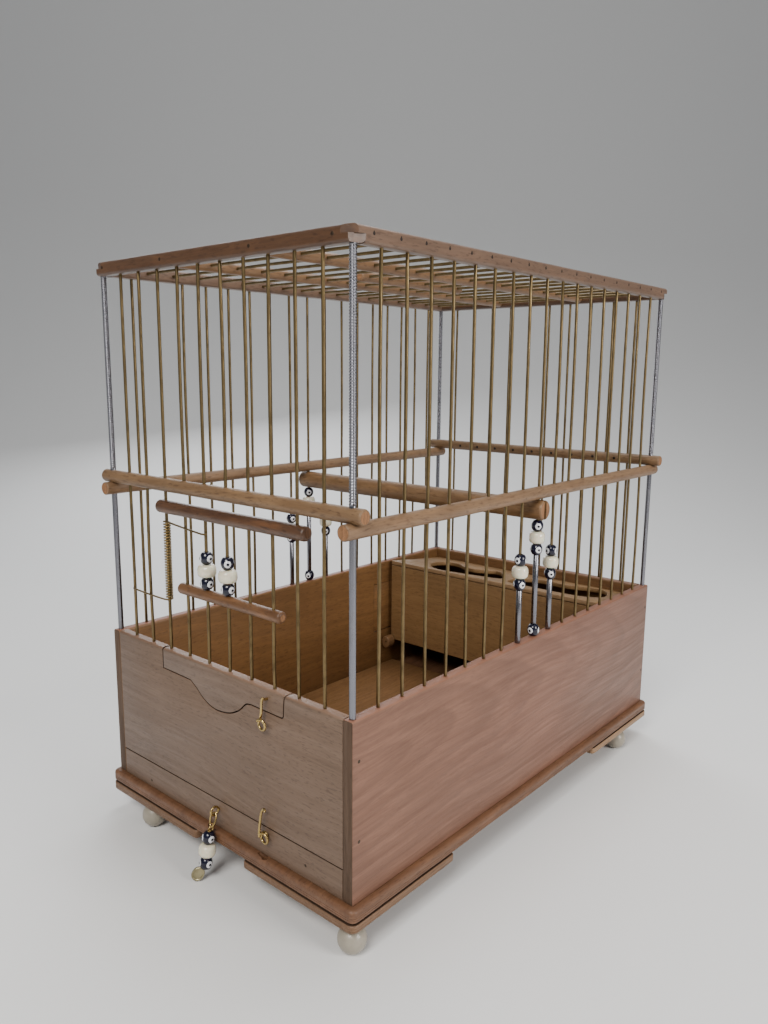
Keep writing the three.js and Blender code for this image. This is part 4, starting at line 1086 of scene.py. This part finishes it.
# ------------------------------------------------------------------ top rails, half-lapped, with well-rounded edges
def top_rail(name, axis, a0, a1, c, mats, node, laps, slot="top_wood", seed=0):
    """Squarish strip with rounded arrises. laps: list of (from, to, z0, z1) left standing at the ends."""
    def section(z0, z1, half, r, n=5):
        out = []
        for cx, cz, q in ((half - r, z1 - r, 0), (-half + r, z1 - r, 90), (-half + r, z0 + r, 180), (half - r, z0 + r, 270)):
            for k in range(n + 1):
                a = math.radians(q + 90 * k / n)
                out.append((cx + r * math.cos(a), cz + r * math.sin(a)))
        return out
    g = Geo()
    m0 = laps
    steps = []
    n = int((a1 - a0) / 5)
    for i in range(n + 1):
        steps.append(a0 + (a1 - a0) * i / n)
    sec = section(165, 171, 3.0, 1.5)
    k = len(sec)
    rings = []
    for i, a in enumerate(steps):
        wobble = []
        for (u, z) in sec:
            w_ = noise.noise(Vector((a * 0.04 + seed, u * 0.3, z * 0.3))) * 0.12
            d = Vector((u, z - 168)).normalized()
            uu, zz = u - d.x * abs(w_), z - d.y * abs(w_)
            wobble.append((uu, zz))
        rings.append((a, wobble))
    # the corner of the frame is rounded: every point is kept inside a rounded outline
    out = 1 if c > 0 else -1
    Rc, end, wide = 2.6, (80.0, 129.0)[axis == "Y"], (129.0, 80.0)[axis == "Y"]

    def limit(u, z):
        inset = 0.0
        if z > 169.5:
            inset = 1.5 - math.sqrt(max(0.0, 2.25 - (z - 169.5) ** 2))
        elif z < 166.5:
            inset = 1.5 - math.sqrt(max(0.0, 2.25 - (166.5 - z) ** 2))
        across = out * (c + u)
        if across > wide - Rc:
            return end - Rc + math.sqrt(max(0.0, (Rc - inset) ** 2 - (across - wide + Rc) ** 2))
        return end - inset

    near = [0.0, 0.4, 0.8, 1.3, 1.9, 2.6]
    sec0, sec1 = rings[0][1], rings[-1][1]
    rings = [(a0 + d, sec0) for d in near] + rings[1:-1] + [(a1 - d, sec1) for d in reversed(near)]
    rings = [[(math.copysign(min(abs(a), limit(u, z) - 0.003 * min(i, len(rings) - 1 - i)), a), u, z) for u, z in s_] for i, (a, s_) in enumerate(rings)]
    for s_ in rings:
        for a, u, z in s_:
            g.v.append((a, c + u, z) if axis == "X" else (c + u, a, z))
    m = len(rings)
    for i in range(m - 1):
        for j in range(k):
            l = (j + 1) % k
            g.f.append((i * k + j, i * k + l, (i + 1) * k + l, (i + 1) * k + j))
            g.m.append(0)
    g.f.append(tuple(range(k - 1, -1, -1)))
    g.f.append(tuple((m - 1) * k + j for j in range(k)))
    g.m += [1, 1]
    o = g.make(name, mats, "cage", [node], slot, angle=45)
    for x0, x1, z0, z1 in laps:
        if axis == "X":
            saw(o, *box_geo(x0, x1, c - 5, c + 5, z0, z1))
        else:
            saw(o, *box_geo(c - 5, c + 5, x0, x1, z0, z1))
    return o


for nm, s in (("front", -1), ("back", 1)):
    top_rail(f"top_strip_{nm}", "X", -80, 80, s * HY, [M["top_x"], M["top_x"]], f"top_rail_{nm}", [(-85, -73.98, 167.98, 175), (73.98, 85, 167.98, 175)], seed=20 + s)
for nm, s in (("left", -1), ("right", 1)):
    top_rail(f"top_strip_{nm}", "Y", -129, 129, s * HX, [M["top_y"], M["top_x"]], f"top_rail_{nm}", [(-135, -122.98, 160, 168.02), (122.98, 135, 160, 168.02)], seed=30 + s)

# wire ends showing on the outer faces of the long top rails
g = Geo()
for s in (-1, 1):
    for i, y in enumerate(ROOF_Y):
        dz = noise.noise(Vector((i * 1.3, s, 0))) * 0.35
        g.add(*lathe([(0.0, 0.03 * s), (0.5, 0.03 * s), (0.62, 0.0), (0.62, -0.3 * s), (0.0, -0.3 * s)], 12, (s * 80.0, y, 168.6 + dz), "X"))
        g.add(*box_geo(s * 79.98 - 0.02, s * 79.98 + 0.02, y - 0.28, y + 0.28, 168.4 + dz, 169.5 + dz * 0.5))
g.make("roof_wire_ends", M["hole"], "cage", slot="wire", angle=50)
for i, x in enumerate((-73, -28.5, 27.8, 70.3)):
    nail(f"top_pin_front_{i}", (x, -129.0, 168.3), "-Y", 0.8)
    nail(f"top_pin_back_{i}", (x, 129.0, 168.3), "Y", 0.8)

# roof rails
for nm, x, a0, a1 in (("left", -28, -122.9, 122.9), ("right", 28, -122.9, 122.9), ("centre", 0, -39.9, 39.9)):
    dowel(f"roof_dowel_{nm}", "Y", a0, a1, (x, 168), 2.5, [M["roof"], M["end_rail"]], "cage", [f"roof_rail_{nm}"], "rail_wood", seed=40 + x, round_end=0.3 if nm != "centre" else 0.8, sides=24)


# ------------------------------------------------------------------ beads
def bead_profile(z0, h, r, bore, kind):
    p = []
    n = 14
    if kind == "navy":
        for k in range(n + 1):
            t = -1 + 2 * k / n
            z = z0 + h / 2 + t * h / 2
            rr = r * (1 - abs(t) ** 2.3 * 0.44)
            p.append((rr, z))
        p = [(bore + 0.2, z0 + 0.12), (r * 0.42, z0 + 0.02)] + p[1:-1] + [(r * 0.42, z0 + h - 0.02), (bore + 0.2, z0 + h - 0.12)]
        return [(bore, z0 + 0.4)] + p + [(bore, z0 + h - 0.4)]
    for k in range(n + 1):
        t = -1 + 2 * k / n
        z = z0 + h / 2 + t * h / 2
        rr = r * (1 - abs(t) ** 3.0 * 0.30)
        p.append((rr, z))
    return [(bore, z0 + 0.4), (bore + 0.2, z0 + 0.1), (r * 0.5, z0 + 0.0)] + p[1:-1] + [(r * 0.5, z0 + h), (bore + 0.2, z0 + h - 0.1), (bore, z0 + h - 0.4)]


def surface_radius(z, z0, h, r):
    t = (z - (z0 + h / 2)) / (h / 2)
    return r * (1 - min(1, abs(t)) ** 2.3 * 0.44)


def eye_patch(g_white, g_pupil, cx, cy, z0, h, r, phi, size=1.7, pup=0.68, dz=0.0, place=None, off=(0.12, 0.0)):
    """A white spot with a dark dot laid on a navy bead. phi is the direction it faces, degrees from -Y towards +X."""
    def disc(rad, lift, bulge, g, cu=0.0, cv=0.0):
        rings, sides = 5, 20
        verts, faces = [], []
        zc = z0 + h / 2 + dz
        for i in range(rings + 1):
            q = rad * i / rings
            for k in range(sides):
                b = 2 * math.pi * k / sides
                s_, hh = cu + q * math.cos(b), cv + q * math.sin(b)
                zz = min(max(zc + hh, z0 + 0.15), z0 + h - 0.15)
                R = surface_radius(zz, z0, h, r)
                ph = math.radians(phi) + s_ / r
                rr = R + lift + bulge * (1 - (i / rings) ** 2) - (0.12 if i == rings else 0)
                verts.append(Vector((cx + rr * math.sin(ph), cy - rr * math.cos(ph), zz)))
        for i in range(rings):
            for k in range(sides):
                l = (k + 1) % sides
                faces.append((i * sides + k, i * sides + l, (i + 1) * sides + l, (i + 1) * sides + k))
        if place:
            verts = [place(v_) for v_ in verts]
        g.add(verts, faces)
    disc(size, 0.03, 0.12, g_white)
    disc(pup, 0.16, 0.10, g_pupil, off[0], off[1])


def stack(name, x, y, parts, body, node, eyes, steel_r=1.3, ivory_r=3.75):
    """parts: list of (kind, z0, z1)."""
    geos = {k: Geo() for k in ("navy", "ivory", "tube", "eye", "pupil")}
    bi = 0
    for kind, z0, z1 in parts:
        h = z1 - z0
        if kind == "tube":
            geos["tube"].add(*lathe([(0.8, z0), (steel_r - 0.12, z0), (steel_r, z0 + 0.12), (steel_r, z1 - 0.12), (steel_r - 0.12, z1), (0.8, z1)], 24, (x, y, 0), closed_profile=True))
            continue
        tiltx = noise.noise(Vector((x, y, z0))) * 0.04
        r = 2.75 if kind == "navy" else ivory_r
        prof = bead_profile(z0, h, r, 0.85, kind)
        v, f = lathe(prof, 36, (0, 0, 0), closed_profile=True)
        zc = (z0 + z1) / 2
        vv = []
        for p in v:
            q = Vector((p[0], p[1], p[2] - zc))
            if kind == "ivory":
                b = math.atan2(q.y, q.x)
                q.x *= 1 + 0.015 * math.cos(2 * b + z0)
                q.y *= 1 + 0.015 * math.cos(2 * b + z0)
                q.z *= 1 + 0.02 * math.sin(b + x)
            vv.append((x + q.x, y + q.y, zc + q.z))
        geos[kind].add(vv, f)
        if kind == "navy":
            for phi, dz in eyes[bi]:
                eye_patch(geos["eye"], geos["pupil"], x, y, z0, h, r, phi, dz=dz)
            bi += 1
    first = True
    for kind, mat in (("navy", "navy"), ("ivory", "ivory"), ("tube", "steel"), ("eye", "eye"), ("pupil", "pupil")):
        if geos[kind].v:
            geos[kind].make(f"{name}_{kind}", M[mat], body, [node] if first else (), "steel" if kind == "tube" else "beads", angle=None if kind != "tube" else 50)
            first = False


def three(a, dz=0.0):
    return [(a, dz), (a + 120, dz), (a + 240, dz)]


OUTER = [("tube", 0.1, 25.3), ("navy", 25.3, 31), ("ivory", 31, 36.8), ("navy", 36.8, 42.3)]
CENTRE = [("navy", 0.1, 6), ("tube", 6, 39.6), ("navy", 39.6, 45.2), ("ivory", 45.2, 50.9), ("navy", 50.9, 56.3)]
for nm, s in (("left", -1), ("right", 1)):
    stack(f"beads_{nm}_front", s * HX, -14, OUTER, f"bead_stack_{nm}_front", f"bead_stack_{nm}_front", [three(62 if s > 0 else 20), three(-2 if s > 0 else 70)])
    stack(f"beads_{nm}_centre", s * HX, 0, CENTRE, f"bead_stack_{nm}_centre", f"bead_stack_{nm}_centre", [three(-5 if s > 0 else 30), three(54 if s > 0 else 80), three(40 if s > 0 else 50)])
    stack(f"beads_{nm}_back", s * HX, 14, OUTER, f"bead_stack_{nm}_back", f"bead_stack_{nm}_back", [three(40 if s > 0 else 44), three(100 if s > 0 else 15)])
DB = [("navy", 32.6, 38), ("ivory", 38, 43.6), ("navy", 43.6, 49)]
stack("door_bead_left", -7, -HY, DB, "door_beads_left", "door_beads_left", [three(85), three(88)], ivory_r=3.97)
stack("door_bead_right", 7, -HY, DB, "door_beads_right", "door_beads_right", [three(88), three(52)], ivory_r=3.97)

# ------------------------------------------------------------------ perch
perch = dowel("perch_dowel", "X", -80.9, 80.9, (0, 61.2), 4.68, [M["perch"], M["end_rail"]], "cage", ["perch"], "rail_wood", seed=50, round_end=0.9, sides=36)
for s in (-1, 1):
    saw(perch, *box_geo(min(s * 75.9, s * 83), max(s * 75.9, s * 83), -0.95, 0.95, 50, 72))

# ------------------------------------------------------------------ door rails
dtr = dowel("door_upper_rail", "X", -38.3, 55.4, (-127, 65.2), 2.9, [M["door_rail"], M["end_dark"]], "door", ["door_top_rail"], "dark_rail_wood", seed=60, round_end=1.3, wob=0.14)
saw(dtr, *box_geo(FRONT_X[8] - 1.2, FRONT_X[8] + 1.2, -127.05, -120, 60, 70))
dowel("door_lower_rail", "X", -25.9, 40.2, (-HY, 30), 2.48, [M["door_perch"], M["end_rail"]], "door", ["door_mid_rail"], "rail_wood", seed=61, round_end=1.2, wob=0.12)

# ------------------------------------------------------------------ spring on the hinge wire
R, rw, turns, z0, z1 = 1.30, 0.42, 29, 23.0, 58.4
y = -HY - R
pts = [(-62.2, y + 0.3, 23.3), (-61.6, y - 0.05, 23.2), (-58, y - 0.1, 23.1), (-52, y - 0.1, 22.9), (-46, y - 0.05, 22.8), (-41, y, 22.75), (-37.5, y, 22.8), (-36, y, 22.9)]
for k in range(turns * 16 + 1):
    a = -math.pi / 2 + k * math.pi / 8
    pts.append((-35 + R * math.cos(a), -HY + R * math.sin(a), z0 + (z1 - z0) * k / (turns * 16)))
pts += [(-34.2, y, 58.5), (-32.5, y, 58.5), (-28, y, 58.1), (-21, y - 0.1, 57.5), (-14, y - 0.1, 56.9), (-8.5, y - 0.05, 56.5), (-6.6, y + 0.1, 56.5), (-5.6, y + 0.4, 56.7)]
v, f = sweep(pts, rw, 8)
g = Geo()
g.add(v, f)
spring = g.make("door_spring_coil", M["spring"], None, ["door_spring"], "wire", angle=80)
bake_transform(spring)


# ------------------------------------------------------------------ hooks, eye, pull
def smooth_path(points, n=6):
    pts = [Vector(p) for p in points]
    pts = [pts[0] * 2 - pts[1]] + pts + [pts[-1] * 2 - pts[-2]]
    out = []
    for i in range(1, len(pts) - 2):
        p0, p1, p2, p3 = pts[i - 1], pts[i], pts[i + 1], pts[i + 2]
        for k in range(n):
            t = k / n
            out.append(0.5 * ((2 * p1) + (p2 - p0) * t + (2 * p0 - 5 * p1 + 4 * p2 - p3) * t * t + (3 * p1 - p0 - 3 * p2 + p3) * t ** 3))
    out.append(pts[-2])
    return out


HR = 0.55
cx, cz = 32.5, -14.2
pts = [(33.2, -127.6, -3.9), (33.2, -128.9, -3.9), (33.2, -129.9, -3.75), (33.2, -130.7, -3.3), (33.1, -131.1, -3.2), (32.8, -131.1, -4.4), (32.4, -130.95, -6.6), (32.0, -130.75, -9.2), (31.5, -130.65, -11.2), (30.85, -130.6, -12.6)]
for k in range(0, 15):
    a = math.pi * (0.93 + k * 1.85 / 14)
    pts.append((cx + 2.25 * math.cos(a), -130.55 - 0.09 * k, cz + 2.25 * math.sin(a)))
g = Geo()
g.add(*sweep(smooth_path(pts, 5), HR, 12))
g.make("hook_on_door", M["brass"], "door_hook", ["door_hook"], "brass", angle=80)
cx, cz = 32.0, -63.8
pts = [(cx, -127.4, cz), (cx, -128.7, cz), (cx + 0.1, -129.4, cz + 0.1), (cx + 0.8, -129.7, cz + 0.9), (cx + 0.6, -129.72, cz + 2.0)]
for k in range(0, 17):
    a = math.pi * (0.6 + k * 2.38 / 16)
    pts.append((cx + 2.25 * math.cos(a), -129.75 - 0.09 * k, cz + 2.25 * math.sin(a)))
pts += [(cx - 2, -131.25, -60.3), (cx - 1.5, -131.2, -56.8), (cx - 1, -131.1, -53.6), (cx - 0.3, -131.1, -51.6), (cx + 0.7, -131.2, -50.4), (cx + 1.5, -131.4, -50.2), (cx + 2.1, -131.7, -50.5)]
g = Geo()
g.add(*sweep(smooth_path(pts, 5), HR, 12))
g.make("hook_on_tray", M["brass"], "tray_hook", ["tray_hook"], "brass", angle=80)

# screw eye
g = Geo()
g.add(*sweep([(0, -126.6, -64), (0, -129.0, -64)], 0.6, 14))
g.add(*sweep([(0, -131 + 1.9 * math.cos(a), -64 + 1.9 * math.sin(a)) for a in np.linspace(0, 2 * math.pi, 33)[:-1]], 0.5, 12, closed=True))
g.make("eye_screw", M["brass"], "tray", ["tray_eye"], "brass", angle=80)

LINK_LEAN, BEAD_LEAN = math.radians(20), math.radians(9.3)
FIRST = (-134.5, -74.8)


def on_link(v_):
    """From a frame hanging straight down at the origin to the link's place."""
    y_, z_ = v_[1], v_[2]
    return Vector((v_[0], -131 + y_ * math.cos(LINK_LEAN) + z_ * math.sin(LINK_LEAN), -64.78 - y_ * math.sin(LINK_LEAN) + z_ * math.cos(LINK_LEAN)))


def lean(v_):
    """The same for the beads; the origin is the first bead's middle."""
    y_, z_ = v_[1], v_[2]
    return Vector((v_[0], FIRST[0] + y_ * math.cos(BEAD_LEAN) + z_ * math.sin(BEAD_LEAN), FIRST[1] - y_ * math.sin(BEAD_LEAN) + z_ * math.cos(BEAD_LEAN)))


def moved(vf, place):
    return [place(p) for p in vf[0]], vf[1]


g = Geo()
loop = []
for k in range(32):
    a = 2 * math.pi * k / 32
    loop.append((1.68 * math.cos(a), 0.25 * math.sin(2 * a), -3.15 + 3.15 * math.sin(a)))
g.add(*moved(sweep(loop, 0.42, 12, closed=True), on_link))
top = lean((0, 0, 2.5))
# small ring and a few turns of wire between the link and the first bead
low = on_link((0, 0, -6.3))
g.add(*sweep([low + Vector((0.9 * math.cos(a) * 0.3, 0.9 * math.cos(a), 0.9 * math.sin(a) - 0.55)) for a in np.linspace(0, 2 * math.pi, 25)[:-1]], 0.33, 10, closed=True))
g.add(*sweep([low + Vector((0, 0, -1.1)), top, lean((0, 0, 1.0))], 0.42, 10))
g.add(*sweep([top + Vector((0.62 * math.cos(a), 0.62 * math.sin(a), 0.9 - 0.085 * a)) for a in np.linspace(0, 2 * math.pi * 2.2, 40)], 0.26, 8))
DROP = Vector((-1.75, -139.37, -90.45))
tail = lean((0, 0, -14.0))
g.add(*sweep(smooth_path([lean((0, 0, -13.0)), tail, Vector((-0.35, -137.7, -89.0)), DROP + Vector((0.95, 1.2, 2.2))], 5), 0.36, 10))
g.make("pull_link", M["brass"], "pull", ["pull"], "brass", angle=80)
gn, gi, ge, gp = Geo(), Geo(), Geo(), Geo()
for z0_, h_, kind, r_ in ((-2.8, 5.6, "navy", 2.78), (-8.4, 5.6, "ivory", 3.75), (-14.0, 5.6, "navy", 2.78)):
    v, f = lathe(bead_profile(z0_, h_, r_, 0.55, kind), 36, (0, 0, 0), closed_profile=True)
    (gn if kind == "navy" else gi).add([lean(p) for p in v], f)
    if kind == "navy":
        for phi, dz in three(83 if z0_ > -10 else 88):
            eye_patch(ge, gp, 0, 0, z0_, h_, r_, phi, dz=dz, place=lean)
gn.make("pull_navy", M["navy"], "pull", slot="beads")
gi.make("pull_ivory", M["ivory"], "pull", slot="beads")
ge.make("pull_eyes", M["eye"], "pull", slot="beads")
gp.make("pull_pupils", M["pupil"], "pull", slot="beads")
# blank oval drop with a raised rim
long_ = Vector((-0.35, -0.45, -0.82)).normalized()
face_ = Vector((0.76, -0.6, 0.25))
face_ = (face_ - face_.dot(long_) * long_).normalized()
across_ = face_.cross(long_)
g = Geo()
prof = [(0.0, 0.22), (0.62, 0.2), (0.70, 0.24), (0.76, 0.56), (0.84, 0.66), (0.94, 0.58), (1.0, 0.3), (1.0, -0.3), (0.94, -0.58), (0.84, -0.66), (0.76, -0.56), (0.70, -0.24), (0.62, -0.2), (0.0, -0.22)]
v, f = lathe(prof, 44, (0, 0, 0), "Y")
g.add([DROP + across_ * (p[0] * 2.7) + face_ * p[1] + long_ * (p[2] * 3.25) for p in v], f)
g.make("pull_drop", M["medal"], "pull", slot="brass", angle=45)

# ------------------------------------------------------------------ feeder
top_of = lambda yy: 0.5 - 0.125 * (yy - 70.5)
board("feeder_front_board", (-71.8, 70.5, -53.5), (74.4, 73.5, top_of(73.5) - 2.62), [M["inner"], M["lip"]], "cage", ["feeder_front"], bevel=0.25, end_axis=0)
board("feeder_bottom_board", (-71.8, 73.6, -49.6), (74.4, 123.4, -46.6), [M["inner"]], "cage", ["feeder_bottom"], bevel=0.2)
src = frame["nodes"]["feeder_top"]
me = src.data.copy()
me.transform(src.matrix_world)
me.materials.clear()
for mm in (M["inner"], M["lip"], M["hole"]):
    me.materials.append(mm)
bm = bmesh.new()
bm.from_mesh(me)
bmesh.ops.remove_doubles(bm, verts=bm.verts, dist=1e-6)
bmesh.ops.dissolve_limit(bm, angle_limit=math.radians(2), verts=bm.verts, edges=bm.edges)
bmesh.ops.bevel(bm, geom=[e for e in bm.edges if e.calc_face_angle(0) > math.radians(50)], offset=0.00025, segments=2, profile=0.5, affect="EDGES")
for fc in bm.faces:
    fc.smooth = True
    fc.material_index = 1 if fc.normal.y < -0.6 and fc.calc_center_median().y < (71.5 + SY) / 1000 else 0
bm.to_mesh(me)
bm.free()
me.set_sharp_from_angle(angle=math.radians(40))
fto = bpy.data.objects.new("feeder_lid", me)
bpy.context.scene.collection.objects.link(fto)
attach(fto, "cage")
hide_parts("feeder_top")
for i, (x, yy) in enumerate(((-70, 95), (-20, 74), (30, 74), (69.5, 72.8), (69.5, 118), (-70, 120))):
    nail(f"lid_nail_{i}", (x, yy, top_of(yy)), "Z", 0.55)

# seed drawer
# the drawer face's edges, inside the panel's opening, get the dark gap wood: painted shade
sd = board("seed_drawer_face", (-OUT_X + 0.1, 56.1, -46.0), (-IN_X - 0.1, 117.9, -14.1), [M["left"], M["end"], M["inner_y"], M["seam"]], "seed_drawer", ["seed_drawer"], bevel=0.25, pick=lambda p: 2 if p.normal[0] > 0.6 else 3 if abs(p.normal[0]) < 0.3 else 0)
saw(sd, *sweep([(-OUT_X - 2, 87, -21), (-76.5, 87, -21)], 4.5, 32, cap="flat"), 1)
for nm, lo, hi in (("bottom", (-74.6, 75.2, -46.0), (70, 117.2, -43.6)), ("front_wall", (-74.6, 75.2, -43.6), (70, 77.6, -16)), ("back_wall", (-74.6, 114.8, -43.6), (70, 117.2, -16)), ("end_wall", (67.6, 77.6, -43.6), (70, 114.8, -16))):
    board("seed_drawer_" + nm, lo, hi, [M["inner"]], "seed_drawer", bevel=0.15, seg=2)

# lug
v, f, mi = dowel_geo("Y", 63.8, 70.2, (-71.2, -54.25), 3.0, sides=28, round_end=0.5, wob=0.05)
lg = obj("lug", [((a - (-71.2)) * 1.0 - 71.2, b, (c - (-54.25)) * 1.33 - 54.25) for a, b, c in v], f, [M["roof"]], "cage", ["feeder_lug"], angle=50)
nail("lug_nail", (-70.6, 63.8, -53.8), "-Y", 0.7)
